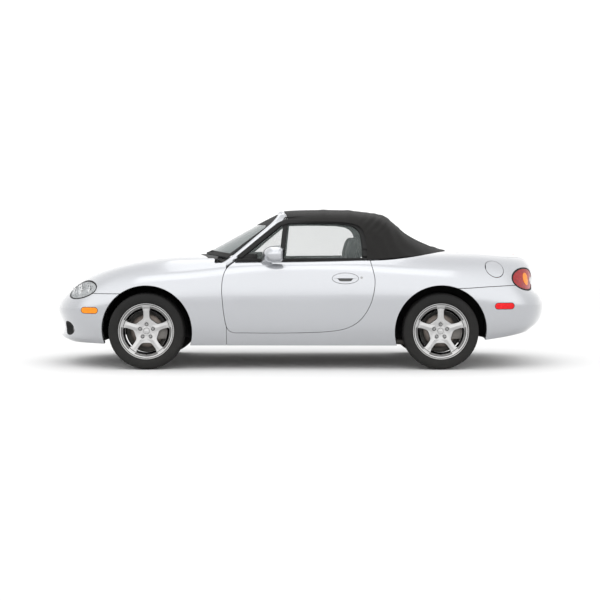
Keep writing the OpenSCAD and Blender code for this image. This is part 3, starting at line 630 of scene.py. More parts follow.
def makeGlass(name, tint, clear, dirty, edge):
    # thin window glass: see-through face on, mirror-like at a slant, faint haze
    material, tree, shader = newMaterial(name, Base_Color=tint, IOR=1.5, Metallic=0.0)
    grain = effect(tree, grainGroup, Fine=300.0, Coarse=5.0)
    tree.links.new(ramp(tree, grain.outputs["Mask"], [(0.3, 0.0), (0.8, 0.04)]), shader.inputs["Roughness"])
    slant = node(tree, "ShaderNodeFresnel", {"IOR": 1.45}).outputs[0]
    haze = maths(tree, "MULTIPLY", grain.outputs["Mask"], dirty)
    cover = maths(tree, "MULTIPLY_ADD", slant, edge)
    cover.node.inputs[2].default_value = clear
    tree.links.new(maths(tree, "ADD", cover, haze, clamp=True), shader.inputs["Alpha"])
    return material


paint = makePaint()
hoodCloth = makeCloth("hoodCloth", (0.0045, 0.0042, 0.004), (0.011, 0.0105, 0.010), 620.0, 0.05)
seatCloth = makeCloth("seatCloth", (0.012, 0.013, 0.014), (0.03, 0.031, 0.034), 420.0, 0.3)
carpet = makeCloth("carpet", (0.008, 0.008, 0.009), (0.022, 0.022, 0.024), 260.0, 0.3, 0.9, 0.002)
windowGlass = makeGlass("windowGlass", (0.30, 0.34, 0.33), 0.08, 0.04, 0.9)
screenGlass = makeGlass("screenGlass", (0.24, 0.27, 0.27), 0.14, 0.08, 1.0)
lampGlass = makeGlass("lampGlass", (0.55, 0.57, 0.58), 0.06, 0.04, 0.6)
sealRubber = grained("sealRubber", 0.005, 0.011, (0.55, 0.75), 700.0, 20.0, 0.2, Specular_IOR_Level=0.25)
blackPlastic = grained("blackPlastic", 0.009, 0.018, (0.5, 0.68), 1400.0, 12.0, 0.35, 0.0003,
                       Specular_IOR_Level=0.25)
cabinPlastic = grained("cabinPlastic", 0.016, 0.028, (0.5, 0.68), 1100.0, 10.0, 0.5, 0.0005)
wheelLeather = grained("wheelLeather", 0.012, 0.024, (0.38, 0.5), 800.0, 15.0, 0.5, 0.0005)
# painted shade: the barrel is the rim's alloy, painted near-black for the shade inside the wheel, with some road
# dust on top
barrelDark = grained("barrelDark", 0.05, 0.09, (0.5, 0.7), 500.0, 12.0, 0.2, dust=0.2)
tyreRubber = grained("tyreRubber", 0.006, 0.012, (0.65, 0.85), 900.0, 14.0, 0.35, 0.0005, dust=0.05,
                     Specular_IOR_Level=0.22)
rimSilver = grained("rimSilver", (0.40, 0.40, 0.40), (0.50, 0.50, 0.50), (0.30, 0.40), 1200.0, 9.0, 0.06, 0.0002,
                    dust=0.15, Metallic=0.75, Coat_Weight=0.4, Coat_Roughness=0.1)
discIron = grained("discIron", (0.10, 0.085, 0.075), (0.22, 0.19, 0.17), (0.35, 0.55), 500.0, 12.0, 0.2, 0.0003,
                   Metallic=0.8)
hubRust = grained("hubRust", (0.09, 0.05, 0.035), (0.17, 0.10, 0.07), (0.7, 0.9), 300.0, 30.0, 0.5, 0.001)
castIron = grained("castIron", 0.03, 0.07, (0.6, 0.8), 400.0, 18.0, 0.5, 0.001, dust=0.4, Metallic=0.3,
                   wear=(0.56, (0.2, 0.19, 0.18)))
bareAlloy = grained("bareAlloy", 0.28, 0.42, (0.4, 0.6), 500.0, 14.0, 0.35, 0.0006, Metallic=0.85,
                    wear=(0.55, (0.6, 0.6, 0.6)))
pipeSteel = grained("pipeSteel", (0.16, 0.145, 0.13), (0.34, 0.32, 0.30), (0.4, 0.65), 300.0, 9.0, 0.25, 0.0006,
                    dust=0.4, Metallic=0.8)
underPaint = grained("underPaint", 0.028, 0.055, (0.7, 0.9), 500.0, 7.0, 0.5, 0.001, dust=0.5)
chrome = grained("chrome", 0.72, 0.82, (0.06, 0.12), 200.0, 6.0, 0.0, Metallic=1.0)
reflector = grained("reflector", 0.50, 0.66, (0.08, 0.16), 200.0, 30.0, 0.25, 0.0010, Metallic=1.0)
amberLens = grained("amberLens", (0.72, 0.20, 0.003), (0.84, 0.27, 0.005), (0.2, 0.3), 500.0, 40.0, 0.05,
                    Specular_IOR_Level=0.25, Coat_Weight=0.2)
redLens = grained("redLens", (0.20, 0.003, 0.004), (0.34, 0.005, 0.006), (0.2, 0.3), 500.0, 40.0, 0.05,
                  Specular_IOR_Level=0.25, Coat_Weight=0.3)
markerRed = grained("markerRed", (0.56, 0.005, 0.008), (0.72, 0.007, 0.012), (0.2, 0.3), 500.0, 40.0, 0.05,
                    Specular_IOR_Level=0.2, Coat_Weight=0.1)
mirrorGlass = grained("mirrorGlass", 0.80, 0.86, (0.02, 0.05), 200.0, 5.0, 0.0, Metallic=1.0)
boltSteel = grained("boltSteel", 0.22, 0.34, (0.3, 0.45), 300.0, 30.0, 0.1, Metallic=0.9)
# painted shade: dark grey standing in for the shade inside the door handle's slot
handleShade = grained("handleShade", 0.045, 0.075, (0.5, 0.7), 900.0, 20.0, 0.1)
gapBlack = grained("gapBlack", 0.004, 0.008, (0.9, 1.0), 300.0, 10.0, 0.0)
print("materials made")

# the body's surface and its panels


def bodyRow(x, y, spine, side, top):
    # one row of control points: insets and heights from the sill up, then two points on the way to the middle
    out, way = np.array([x, y, 0.0]), unit(np.array([spine - x, -y, 0.0]))
    rise = [out + way * inset + [0, 0, z] for inset, z in side]
    crest = out + way * side[-1][0]
    middle = np.array([spine, 0.0, 0.0])
    return np.array(rise + [(crest + middle) / 2 + [0, 0, top[0]], middle + [0, 0, top[1]]])


bodyNet = [bodyRow(*row) for row in [
    (1991, 0, 1240,
        [[90, 190], [4, 224], [50, 262], [44, 334], [-4, 418], [12, 505], [82, 578], [188, 655], [360, 722]],
        [786, 838]),
    (1954, 290, 1210,
        [[90, 190], [4, 224], [50, 262], [44, 334], [-4, 418], [12, 505], [80, 578], [184, 655], [352, 724]],
        [792, 842]),
    (1870, 520, 1160,
        [[88, 192], [26, 228], [46, 268], [36, 334], [-2, 422], [12, 510], [66, 588], [154, 668], [294, 734]],
        [803, 850]),
    (1715, 690, 1110,
        [[84, 194], [56, 230], [42, 276], [22, 340], [0, 438], [8, 525], [44, 608], [112, 692], [230, 766]],
        [820, 857]),
    (1460, 785, 1050,
        [[72, 190], [50, 235], [35, 282], [20, 330], [0, 452], [2, 560], [18, 660], [72, 755], [200, 816]],
        [844, 864]),
    (1183, 822, 980,
        [[64, 185], [46, 232], [32, 281], [18, 330], [0, 465], [0, 575], [10, 685], [62, 795], [192, 856]],
        [862, 872]),
    (850, 826, 860,
        [[62, 185], [46, 232], [32, 281], [18, 330], [0, 465], [0, 575], [8, 690], [56, 808], [180, 876]],
        [880, 884]),
    (550, 822, 550,
        [[62, 185], [46, 232], [33, 281], [20, 330], [2, 460], [0, 575], [8, 692], [28, 792], [74, 862]],
        [874, 884]),
    (0, 828, 0,
        [[62, 185], [46, 232], [33, 281], [20, 330], [2, 460], [0, 575], [8, 692], [22, 790], [56, 862]],
        [850, 850]),
    (-560, 840, -560,
        [[64, 185], [48, 232], [34, 281], [20, 330], [2, 465], [0, 585], [8, 705], [26, 800], [66, 872]],
        [856, 856]),
    (-1083, 848, -1083,
        [[66, 185], [50, 234], [35, 284], [20, 335], [0, 475], [0, 600], [12, 720], [58, 836], [190, 906]],
        [916, 918]),
    (-1440, 822, -1380,
        [[72, 225], [45, 270], [30, 316], [15, 362], [0, 485], [4, 600], [22, 712], [70, 824], [185, 890]],
        [902, 906]),
    (-1690, 748, -1460,
        [[78, 256], [40, 302], [25, 351], [10, 400], [0, 500], [14, 592], [52, 690], [102, 795], [190, 872]],
        [893, 901]),
    (-1872, 590, -1520,
        [[104, 284], [42, 324], [20, 368], [2, 414], [-4, 502], [22, 580], [98, 614], [88, 750], [166, 872]],
        [885, 896]),
    (-1954, 330, -1560,
        [[130, 294], [48, 332], [16, 372], [-2, 416], [-6, 502], [30, 574], [124, 608], [96, 742], [176, 874]],
        [881, 892]),
    (-1990, 0, -1600,
        [[130, 294], [48, 334], [18, 374], [4, 418], [2, 502], [32, 574], [128, 606], [104, 740], [186, 878]],
        [881, 889]),
]]
bodySurface = netSurface(padNet(bodyNet, True))


def line(points, steps=8):
    # a smooth line through places in mm
    return smoothPath(np.array(points, dtype=float) * mm, steps)


def mirrored2(outline):
    # the same outline on the car's right, run backwards
    return outline[::-1] * [1, -1]


doorFront = line([[482, 842], [556, 783], [587, 715], [597, 622], [592, 533], [582, 435], [566, 345], [545, 303],
                  [510, 286]])
doorLower = line([[510, 286], [214, 284], [-66, 288], [-234, 298], [-347, 319], [-431, 360], [-487, 417],
                  [-534, 498], [-561, 587], [-571, 676], [-561, 748], [-545, 806], [-534, 852]])
doorOutline = np.concatenate([doorFront, doorLower[1:], [[-0.534, 0.95], [0.482, 0.95]]])
bonnetHalf = np.concatenate([
    line([[1934, 0], [1926, 150], [1896, 280], [1842, 385], [1762, 458]]),
    line([[1762, 458], [1625, 510], [1410, 562], [1188, 600], [900, 640], [712, 660]])[1:],
    line([[712, 660], [748, 500], [786, 300], [802, 150], [806, 0]])[1:]])
bonnetOutline = np.concatenate([bonnetHalf, mirrored2(bonnetHalf)])
bonnetLean = 0.24
bootHalf = np.concatenate([
    np.array([[-1.236, 0], [-1.236, 0.5]]),
    line([[-1236, 500], [-1252, 572], [-1330, 600], [-1480, 594], [-1590, 556], [-1670, 494], [-1738, 432],
          [-1810, 390], [-1870, 374]])[1:], np.array([[-2.1, 0.374], [-2.1, 0]])])
bootOutline = np.concatenate([bootHalf, mirrored2(bootHalf)])
hoodFoot = line([[-530, 776], [-700, 762], [-850, 726], [-960, 668], [-1042, 588], [-1092, 505], [-1140, 400],
                 [-1172, 270], [-1192, 130], [-1198, 0]])
hoodOutline = np.concatenate([[[0.6, 0], [0.6, 0.776]], hoodFoot, mirrored2(hoodFoot), [[0.6, -0.776]]])

panel = {"gap": 0.0018, "round": 0.0016, "frontSeam": 0.583, "frontEnd": 1.7615, "bootEdge": 0.649,
         "frontArch": 0.356, "rearArch": 0.358, "flange": 0.018}
edge = panel["gap"] + panel["round"]


def overDoor(p):
    # in from the door's outline, in side view
    return outlineDistance(p[:, sideView], doorOutline) + 0.003


def overBonnet(p):
    # in from the bonnet's outline, seen along a leaning line
    leaning = np.stack([p[:, 0] - bonnetLean * (p[:, 2] - 0.870), p[:, 1]], 1)
    return outlineDistance(leaning, bonnetOutline)


def overBoot(p):
    # in from the boot lid's outline, seen from above, and above its lower edge
    return np.minimum(outlineDistance(p[:, planView], bootOutline), p[:, 2] - panel["bootEdge"])


def underSeam(p):
    # below the seam that the rear bumper hangs from
    height = np.interp(-p[:, 0], [1.083, 1.3, 1.45, 1.64, 2.1], [0.622, 0.628, 0.638, 0.646, 0.646])
    return np.minimum(height - p[:, 2], -1.0835 - p[:, 0])


def frontArch(p):
    # in from the circle of the front wheel arch; rearArch does the same behind
    return panel["frontArch"] - np.hypot(p[:, 0] - frontAxleX, p[:, 2] - hubZ)


def rearArch(p):
    return panel["rearArch"] - np.hypot(p[:, 0] - rearAxleX, p[:, 2] - hubZ)


def lampFrame(p, lamp):
    # into the lamp's own axes: along it, across it, up it
    yaw, roll = math.radians(lamp["yaw"]), math.radians(lamp["roll"])
    along = np.array([math.cos(yaw), math.sin(yaw), 0])
    side = np.array([-math.sin(yaw), math.cos(yaw), 0])
    across = side * math.cos(roll) + np.array([0, 0, math.sin(roll)])
    upward = np.cross(along, across)
    q = p - np.array(lamp["centre"])
    return q @ along, q @ across, q @ upward


def inLamp(lamp, grow=0.0):
    # in from a slanting ellipse: 1 - r over the slope of r, on the side that the lamp faces
    def test(p):
        _, across, upward = lampFrame(p, lamp)
        a, b = lamp["halfWidth"] + grow, lamp["halfHeight"] + grow
        radius = np.hypot(across / a, upward / b)
        slope = np.hypot(across / a ** 2, upward / b ** 2) / np.maximum(radius, 1e-6)
        away = (1 - radius) / np.maximum(slope, 1e-6)
        facing = (p - np.array(lamp["centre"])) @ [math.cos(math.radians(lamp["yaw"])),
                                                    math.sin(math.radians(lamp["yaw"])), 0]
        return np.minimum(away, 0.2 + facing)
    return test


headLamp = {"centre": (1.703, 0.585, 0.608), "yaw": 45, "roll": 4.5, "halfWidth": 0.175, "halfHeight": 0.070}
tailLamp = {"centre": (-1.750, 0.560, 0.692), "yaw": 140, "roll": 2.8, "halfWidth": 0.173, "halfHeight": 0.087}
fuelDoor = {"centre": (-1.500, 0.742, 0.790), "radius": 0.074, "lean": 52}
mouth = {"halfWidth": 0.330, "height": 0.298, "halfHeight": 0.058}
fog = {"centre": (1.716, 0.434, 0.302), "yaw": 28, "halfWidth": 0.088, "halfHeight": 0.055}


def inFuelDoor(p):
    # in from the edge of a round hole along a slanting axis
    lean = math.radians(fuelDoor["lean"])
    axis = np.array([0, math.sin(lean), math.cos(lean)])
    q = p - np.array(fuelDoor["centre"])
    return fuelDoor["radius"] - np.linalg.norm(q - (q @ axis)[:, None] * axis, axis=1)


def inMouth(p):
    # in from an ellipse seen from the front: (1 - r) times its half height
    r = np.hypot(p[:, 1] / mouth["halfWidth"], (p[:, 2] - mouth["height"]) / mouth["halfHeight"])
    return (1 - r) * mouth["halfHeight"] + np.minimum(p[:, 0] - 1.7, 0)


def inFog(p):
    # the same about a turned axis
    yaw = math.radians(fog["yaw"])
    axis = np.array([math.cos(yaw), math.sin(yaw), 0])
    q = p - fog["centre"]
    across = q[:, 1] * axis[0] - q[:, 0] * axis[1]
    r = np.hypot(across / fog["halfWidth"], q[:, 2] / fog["halfHeight"])
    return np.minimum((1 - r) * fog["halfHeight"], q @ axis)


def keepOut(test, gap=None):
    # keeps what lies outside a shape by more than the gap
    gap = edge if gap is None else gap
    return lambda p: -test(p) - gap


def keepIn(test, gap=None):
    gap = edge if gap is None else gap
    return lambda p: test(p) - gap


def bodyPanel(name, sRange, tRange, keep, halves="left", body="body", replaced=None, material=None,
              density=(14, 9), depth=None, surface=bodySurface, leftHole=None):
    # a piece of a surface between keep functions, made a panel; leftHole cuts the left half only
    faces, points, normals = patch(surface, sRange, tRange, keep, density)
    if halves == "both":
        faces, points, normals = bothHalves(faces, points, normals)
    if leftHole:
        value = leftHole(points)
        carried, faces = cutTriangles(np.concatenate([points, normals], 1), faces, awayFromZero(value))
        faces, carried = compact(faces, carried)
        points, normals = carried[:, :3], unit(carried[:, 3:])
    piece = panelMesh(name, faces, points, normals, panel["flange"] if depth is None else depth, panel["round"])
    return finishPiece(piece, material or paint, body, replaced if replaced is not None else (name,))


def frontWing():
    # the left wing: what the bonnet, door, bumper, arch and lamp leave of the body's side
    keep = [keepOut(overDoor), keepOut(overBonnet), keepOut(frontArch, -panel["round"]),
            keepOut(inLamp(headLamp)), lambda p: p[:, 0] - 0.567 - edge / 2,
            lambda p: panel["frontEnd"] - p[:, 0] - edge,
            lambda p: np.maximum(p[:, 2] - panel["frontSeam"], 1.2 - p[:, 0]) - edge,
            lambda p: np.maximum(np.abs(p[:, 1]) - 0.702 + 0.03 * (p[:, 0] > 0.66), p[:, 0] - 0.72),
            lambda p: np.maximum(p[:, 0] - 0.66, np.abs(p[:, 1]) - 0.757),
            lambda p: np.maximum(p[:, 0] - 0.85, np.abs(p[:, 1]) - 0.6205)]
    return bodyPanel("left_front_wing", (2, 7.2), (0, 10), keep)


finishPiece(mirrorPiece(frontWing(), "right_front_wing"), None, "body", ("right_front_wing",))

bodyPanel("front_bumper", (0, 5.2), (0, 10), [
    lambda p: np.maximum(panel["frontSeam"] - p[:, 2], p[:, 0] - panel["frontEnd"]) - edge,
    lambda p: p[:, 0] - 1.19, keepOut(frontArch, -panel["round"]), keepOut(overBonnet),
    keepOut(inLamp(headLamp)), keepOut(inMouth, 0.002), keepOut(inFog, 0.002)], "both")
bodyPanel("bonnet", (0, 7.2), (5, 10), [keepIn(overBonnet)], "both", "bonnet")
bodyPanel("boot_lid", (10, 15), (4, 10), [keepIn(overBoot)], "both", "boot_lid")


def sidePanel(p):
    # the sill under the door, the quarter behind it
    corner = np.minimum(p[:, 0] - 0.45, 0.345 - p[:, 2])
    return np.minimum(np.maximum(np.maximum(0.283 - p[:, 2], -p[:, 0]), corner), 0.563 - p[:, 0])


bodyPanel("rear_body", (6.8, 15), (0, 10), [
    keepOut(overDoor), sidePanel, keepOut(rearArch, -panel["round"]), keepOut(underSeam), keepOut(overBoot),
    keepOut(inLamp(tailLamp)), lambda p: np.maximum(-outlineDistance(p[:, planView], hoodOutline) - 0.001,
                                                    0.7 - p[:, 2])],
    "both", leftHole=keepOut(inFuelDoor))
bodyPanel("rear_bumper", (10, 15), (0, 8), [
    keepIn(underSeam), keepOut(rearArch, -panel["round"]), keepOut(inLamp(tailLamp)),
    lambda p: panel["bootEdge"] - 0.003 - p[:, 2] - edge], "both")
bodyPanel("fuel_flap", (10, 13), (5, 10), [keepIn(inFuelDoor), lambda p: -1.4335 - p[:, 0]], body="fuel_flap",
          depth=0.003)


handle = {"x": -0.347, "z": 0.703, "size": (0.196, 0.078), "slot": (0.118, 0.024)}


def handleOval(p, grow=0.0):
    # in from the edge of an ellipse in side view: (1 - r) b, where r is 1 on the ellipse
    a, b = handle["size"][0] / 2 + grow, handle["size"][1] / 2 + grow
    r = np.hypot((p[:, 0] - handle["x"]) / a, (p[:, 2] - handle["z"]) / b)
    return (1 - r) * b


door = bodyPanel("left_door", (6.5, 10), (0, 9), [
    keepIn(overDoor), lambda p: p[:, 1] - 0.752, keepOut(handleOval, 0.0004)], body="left_door", depth=0.05)
finishPiece(mirrorPiece(door, "right_door"), None, "right_door", ("right_door",))
bodyPanel("scuttle_panel", (5.5, 7.2), (6, 10), [
    keepOut(overBonnet), lambda p: p[:, 0] - 0.640, lambda p: 0.699 - 0.03 * (p[:, 0] > 0.66) - np.abs(p[:, 1]),
    lambda p: np.maximum(0.7165 - p[:, 0], 0.617 - np.abs(p[:, 1]))], "both",
    material=blackPlastic)
print("body panels made")

# cloth hood

hoodNet = np.array([
    [[136, 766, 842], [136, 705, 960], [132, 640, 1070], [126, 576, 1150],
        [128, 480, 1202], [132, 240, 1228], [134, 0, 1234]],
    [[40, 766, 843], [40, 706, 965], [40, 642, 1080], [40, 590, 1160],
        [40, 490, 1213], [40, 240, 1237], [40, 0, 1242]],
    [[-180, 770, 845], [-180, 710, 965], [-180, 648, 1085], [-180, 598, 1165],
        [-180, 500, 1218], [-180, 240, 1240], [-180, 0, 1245]],
    [[-400, 772, 848], [-400, 714, 965], [-400, 654, 1085], [-400, 602, 1165],
        [-400, 500, 1216], [-400, 240, 1238], [-400, 0, 1243]],
    [[-560, 772, 850], [-560, 716, 965], [-560, 656, 1080], [-560, 600, 1158],
        [-560, 495, 1203], [-560, 240, 1222], [-560, 0, 1226]],
    [[-700, 756, 858], [-696, 702, 955], [-692, 645, 1055], [-692, 590, 1128],
        [-690, 485, 1178], [-690, 240, 1202], [-690, 0, 1206]],
    [[-846, 718, 870], [-822, 668, 936], [-800, 612, 997], [-788, 550, 1046],
        [-778, 445, 1080], [-772, 230, 1103], [-770, 0, 1110]],
    [[-958, 660, 882], [-950, 610, 914], [-944, 552, 946], [-940, 485, 972],
        [-940, 385, 993], [-942, 200, 1006], [-944, 0, 1010]],
    [[-1040, 580, 893], [-1058, 530, 904], [-1070, 470, 914], [-1080, 400, 922],
        [-1090, 300, 927], [-1098, 160, 930], [-1100, 0, 931]],
    [[-1086, 500, 899], [-1115, 430, 903], [-1138, 350, 907], [-1158, 262, 910],
        [-1174, 172, 913], [-1184, 84, 915], [-1188, 0, 916]]
], dtype=float)
hoodBase = netSurface(padNet(hoodNet, False))
hood = {"sag": 0.0035, "bowAt": (-0.190, -0.395, -0.690), "bowHeight": 0.0035, "wrinkle": 0.0022, "thick": 0.006,
        "seamAt": 4.35}


def hoodHeight(t, p):
    # bows push the cloth up, it sags between them, and it wrinkles over the rear quarter
    x, rise = p[:, 0], np.zeros(len(p))
    for place in hood["bowAt"]:
        rise += hood["bowHeight"] * np.exp(-((x - place) / 0.028) ** 2) * np.clip((t - 2.6) / 1.2, 0, 1)
    rise -= hood["sag"] * np.clip(t - 3.4, 0, 1) * np.sin(np.clip((x + 0.69) / 0.30, 0, 1) * np.pi)
    rise += 0.0014 * np.clip((0.13 - np.abs(t - hood["seamAt"])) / 0.03, 0, 1)
    quarter = np.clip((-0.52 - x) / 0.1, 0, 1) * np.clip((1.08 + x) / 0.2, 0, 1) * np.clip((4.4 - t) / 0.8, 0, 1)
    fold = np.sin((p[:, 2] * 0.75 - x * 0.95) * 58 + 1.6 * np.sin(x * 17 + p[:, 2] * 9))
    rise += hood["wrinkle"] * quarter * fold
    corner = np.exp(-((x + 0.60) / 0.11) ** 2 - ((p[:, 2] - 1.13) / 0.09) ** 2)
    return rise + 0.0035 * corner * np.sin((x + p[:, 2]) * 85)


def hoodSurface(s, t):
    # the hood's net with hoodHeight added along its normals; new normals from small steps
    def place(a, b):
        p, n = hoodBase(a, b)
        return p + n * hoodHeight(b, p)[:, None]
    step = 1e-3
    here = place(s, t)
    alongS = place(np.minimum(s + step, 9), t) - place(np.maximum(s - step, 0), t)
    alongT = place(s, np.minimum(t + step, 6)) - place(s, np.maximum(t - step, 0))
    normal = unit(np.cross(alongS, alongT))
    normal[t > 5.9999] = unit(normal[t > 5.9999] * [1, 0, 1])
    return here, normal


sideOpening = np.concatenate([np.array([[0.300, 0.700], [0.300, 1.134], [0.040, 1.138]]), line([
    [-120, 1140], [-300, 1137], [-420, 1122], [-482, 1082], [-508, 1010], [-516, 920], [-514, 700]])])
rearHalf = line([[-772, 0], [-775, 200], [-784, 360], [-812, 424], [-870, 438], [-980, 400], [-1048, 350],
                 [-1078, 270], [-1088, 140], [-1090, 0]])
rearOutline = np.concatenate([rearHalf, mirrored2(rearHalf)])


def inSideOpening(p):
    # in from the hood's side window, in side view
    return np.minimum(outlineDistance(p[:, sideView], sideOpening), np.abs(p[:, 1]) - 0.3)


def inRearWindow(p):
    # in from the rear window's outline, seen from above
    return outlineDistance(p[:, planView], rearOutline)


def hoodPiece(name, keep, lift, thick, material, sRange=(0, 9), density=(13, 12), replaced=()):
    # a panel cut from the hood's surface, lifted off it
    def lifted(s, t):
        p, n = hoodSurface(s, t)
        return p + n * lift, n
    return bodyPanel(name, sRange, (0, 6), keep, "both", "body", replaced, material, density, thick, lifted)


cloth = hoodPiece("soft_top", [
    lambda p: 0.130 - 0.1 * p[:, 1] ** 2 - p[:, 0], keepOut(inSideOpening, 0.001), keepOut(inRearWindow, 0.001),
    lambda p: p[:, 2] - 0.846 + 0.06 * np.clip(p[:, 0] + 0.5, -0.7, 0) * -1], 0.0, hood["thick"], hoodCloth,
    replaced=("soft_top",))
hem = hoodPiece("windowHem", [lambda p: inRearWindow(p) + 0.021, keepOut(inRearWindow, -0.003)], 0.0022, 0.003,
                sealRubber, (5, 9))
hoodPiece("rear_window", [keepIn(inRearWindow, 0.0005)], -0.008, 0.004, windowGlass, (5, 9),
          replaced=("rear_window",))


def rise(points, lift=0.0):
    # side-view points set on the plane of the door glass, a little outside it
    points = np.asarray(points, dtype=float)
    y = 0.752 - (points[:, 1] - 0.838) * math.tan(math.radians(30)) + lift
    return np.stack([points[:, 0], y, points[:, 1]], 1)


def bothSides(piece, body="body", material=None, twinBody=None):
    # finishes a left piece, and its twin on the right
    finishPiece(piece, material, body)
    twin = mirrorPiece(piece, piece.name.replace("left", "right") if "left" in piece.name else piece.name
                       + "Right")
    finishPiece(twin, None, twinBody or body)
    return piece, twin


trim = {"sealWidth": 0.040, "sealDepth": 0.026, "beltHeight": 0.020}
sealPath = np.concatenate([
    line([[468, 862], [400, 918], [290, 1010], [180, 1100], [146, 1122]]),
    line([[100, 1136], [-30, 1140], [-200, 1139], [-330, 1134], [-424, 1112], [-478, 1068], [-500, 1000],
          [-506, 930],
          [-505, 862]])])
seal = sweep("leftWindowSeal", rise(sealPath, 0.004), ovalOutline(trim["sealDepth"], trim["sealWidth"], 20, 4.5),
             up=(0, -0.5, 0.87), scale=1 + 0.38 * np.clip((-0.40 - sealPath[:, 0]) / 0.09, 0, 1))
bothSides(seal, material=sealRubber)
beltPath = np.stack([np.linspace(0.500, -0.535, 24), 0.757 + 0.008 * np.sin(np.linspace(0, 3.1, 24)),
                     np.linspace(0.843, 0.850, 24)], 1)
belt = sweep("leftBeltSeal", beltPath, ovalOutline(0.020, trim["beltHeight"], 16, 3.5))
bothSides(belt, "left_door", sealRubber, "right_door")
bead = sweep("leftHoodBead", rise(line([[118, 1172], [40, 1178], [-200, 1180], [-330, 1175]]), -0.008),
             ovalOutline(0.008, 0.006, 10))
bothSides(bead, material=sealRubber)
for place, height in ((-0.190, 1.218), (-0.395, 1.214)):
    spread = np.linspace(-1, 1, 33)
    arc = np.stack([np.full(33, place), 0.50 * spread, height - 0.004 - 0.060 * spread ** 4], 1)
    finishPiece(sweep("hoodBow", arc, ovalOutline(0.030, 0.010, 12, 4), up=(1, 0, 0)), castIron)

# windscreen and its frame

screenNet = np.array([
    [[556, 700, 862], [640, 560, 872], [708, 380, 882], [756, 190, 888], [774, 0, 890]],
    [[448, 652, 950], [508, 520, 962], [560, 355, 973], [592, 180, 980], [604, 0, 984]],
    [[332, 606, 1040], [375, 480, 1052], [410, 330, 1064], [432, 170, 1071], [440, 0, 1075]],
    [[222, 566, 1126], [246, 445, 1138], [268, 305, 1148], [280, 158, 1155], [284, 0, 1158]],
    [[156, 545, 1178], [168, 425, 1188], [178, 290, 1196], [184, 150, 1202], [186, 0, 1205]]
], dtype=float)
screenSurface = netSurface(padNet(screenNet, False))
screen = {"thick": 0.005, "band": 0.030, "topBand": 0.07, "frame": (0.046, 0.034)}


def screenPiece(name, keep, lift, thick, material, replaced=()):
    # a panel cut from the windscreen's surface, lifted off it
    def lifted(s, t):
        p, n = screenSurface(s, t)
        return p + n * lift, n
    return bodyPanel(name, (0, 4), (0, 4), keep, "both", "body", replaced, material, (16, 16), thick, lifted)


def screenEdge(p):
    # distance in from the windscreen's edge: sides from the pillar line, top and foot by height
    side = 0.700 - (p[:, 2] - 0.862) * 0.4905 - np.abs(p[:, 1])
    foot = (p[:, 2] - 0.862 - 0.028 * (1 - (p[:, 1] / 0.7) ** 2)) * 1.15
    top = (1.178 + 0.027 * (1 - (p[:, 1] / 0.545) ** 2) - p[:, 2]) * 1.15
    return np.minimum(np.minimum(side * 0.9, foot), top)


screenPiece("windscreen", [lambda p: p[:, 2] - 0.856], 0.0, screen["thick"], screenGlass, ("windscreen",))
screenPiece("screenBand", [lambda p: screen["band"] - screenEdge(p) + screen["topBand"] * np.clip(
            (p[:, 2] - 1.10) / 0.02, 0, 1)], 0.0012, 0.0016, gapBlack)
pillar = smoothPath([[0.640, 0.742, 0.772], [0.560, 0.725, 0.818], [0.476, 0.696, 0.882], [0.360, 0.652, 0.980],
                     [0.240, 0.603, 1.082], [0.172, 0.566, 1.143], [0.144, 0.520, 1.180], [0.150, 0.430, 1.193],
                     [0.162, 0.220, 1.203], [0.166, 0.0, 1.206]], 8)
frameLine = np.concatenate([pillar, pillar[-2::-1] * [1, -1, 1]])
along = unit(np.gradient(frameLine, axis=0))
sideways = np.clip(1 - (0.52 - np.abs(frameLine[:, 1])) / 0.24, 0, 1)[:, None]
lean = unit(np.cross(along, [0.0, 1.0, 0.0]) * sideways * np.sign(frameLine[:, 1:2] + 1e-9)
            + (1 - sideways) * np.array([0.55, 0, 1.0]))
frameShape = sweep("windscreen_frame", frameLine, ovalOutline(screen["frame"][1], screen["frame"][0], 24, 3.2),
                   up=lean, scale=1 + 0.32 * np.clip((frameLine[:, 2] - 1.10) / 0.06, 0, 1))
finishPiece(frameShape, paint, "body", ("windscreen_frame",))

# door glass, quarter-lights and mirrors

glass = {"lean": 30, "foot": (0.752, 0.838), "bulge": 0.005, "thick": 0.004}
glassOutline = np.concatenate([np.array([[0.462, 0.0], [0.118, 0.326]]), line(
    [[-100, 332], [-290, 328], [-400, 312], [-462, 268], [-490, 190], [-498, 90], [-500, 0]])])


def glassPlane(s, t):
    # u runs along the car, v up the glass; it bulges outwards by bulge * 4 v (L - v) / L^2
    u, v = 0.50 - s * 0.11, t * 0.038
    lean, tall = math.radians(glass["lean"]), 0.342
    out = glass["bulge"] * 4 * v * (tall - v) / tall ** 2
    slope = glass["bulge"] * 4 * (tall - 2 * v) / tall ** 2
    point = np.stack([u, glass["foot"][0] - v * math.sin(lean) + out * math.cos(lean),
                      glass["foot"][1] + v * math.cos(lean) + out * math.sin(lean)], 1)
    normal = np.stack([0 * u, math.cos(lean) + slope * math.sin(lean), math.sin(lean) - slope * math.cos(lean)],
                      1)
    return point, unit(normal)


def glassSide(p):
    # in from the door glass's outline, drawn along the car and up the leaning glass
    v = (p[:, 2] - glass["foot"][1]) / math.cos(math.radians(glass["lean"]))
    return outlineDistance(np.stack([p[:, 0], v], 1), glassOutline)


def glassPiece(name, keep, replaced):
    # a part of the door glass and its twin
    piece = bodyPanel("left" + name, (0, 9.2), (0, 9), [glassSide, *keep], body="left_door",
                      replaced=[f"left_{n}" for n in replaced], material=windowGlass, density=(6, 5),
                      depth=glass["thick"], surface=glassPlane)
    finishPiece(mirrorPiece(piece, "right" + name), None, "right_door", [f"right_{n}" for n in replaced])


def barLine(p):
    # ahead of the bar between the quarter-light and the door glass, which leans back at the top
    return p[:, 0] - 0.142 + 0.030 * (p[:, 2] - 0.85) / 0.28


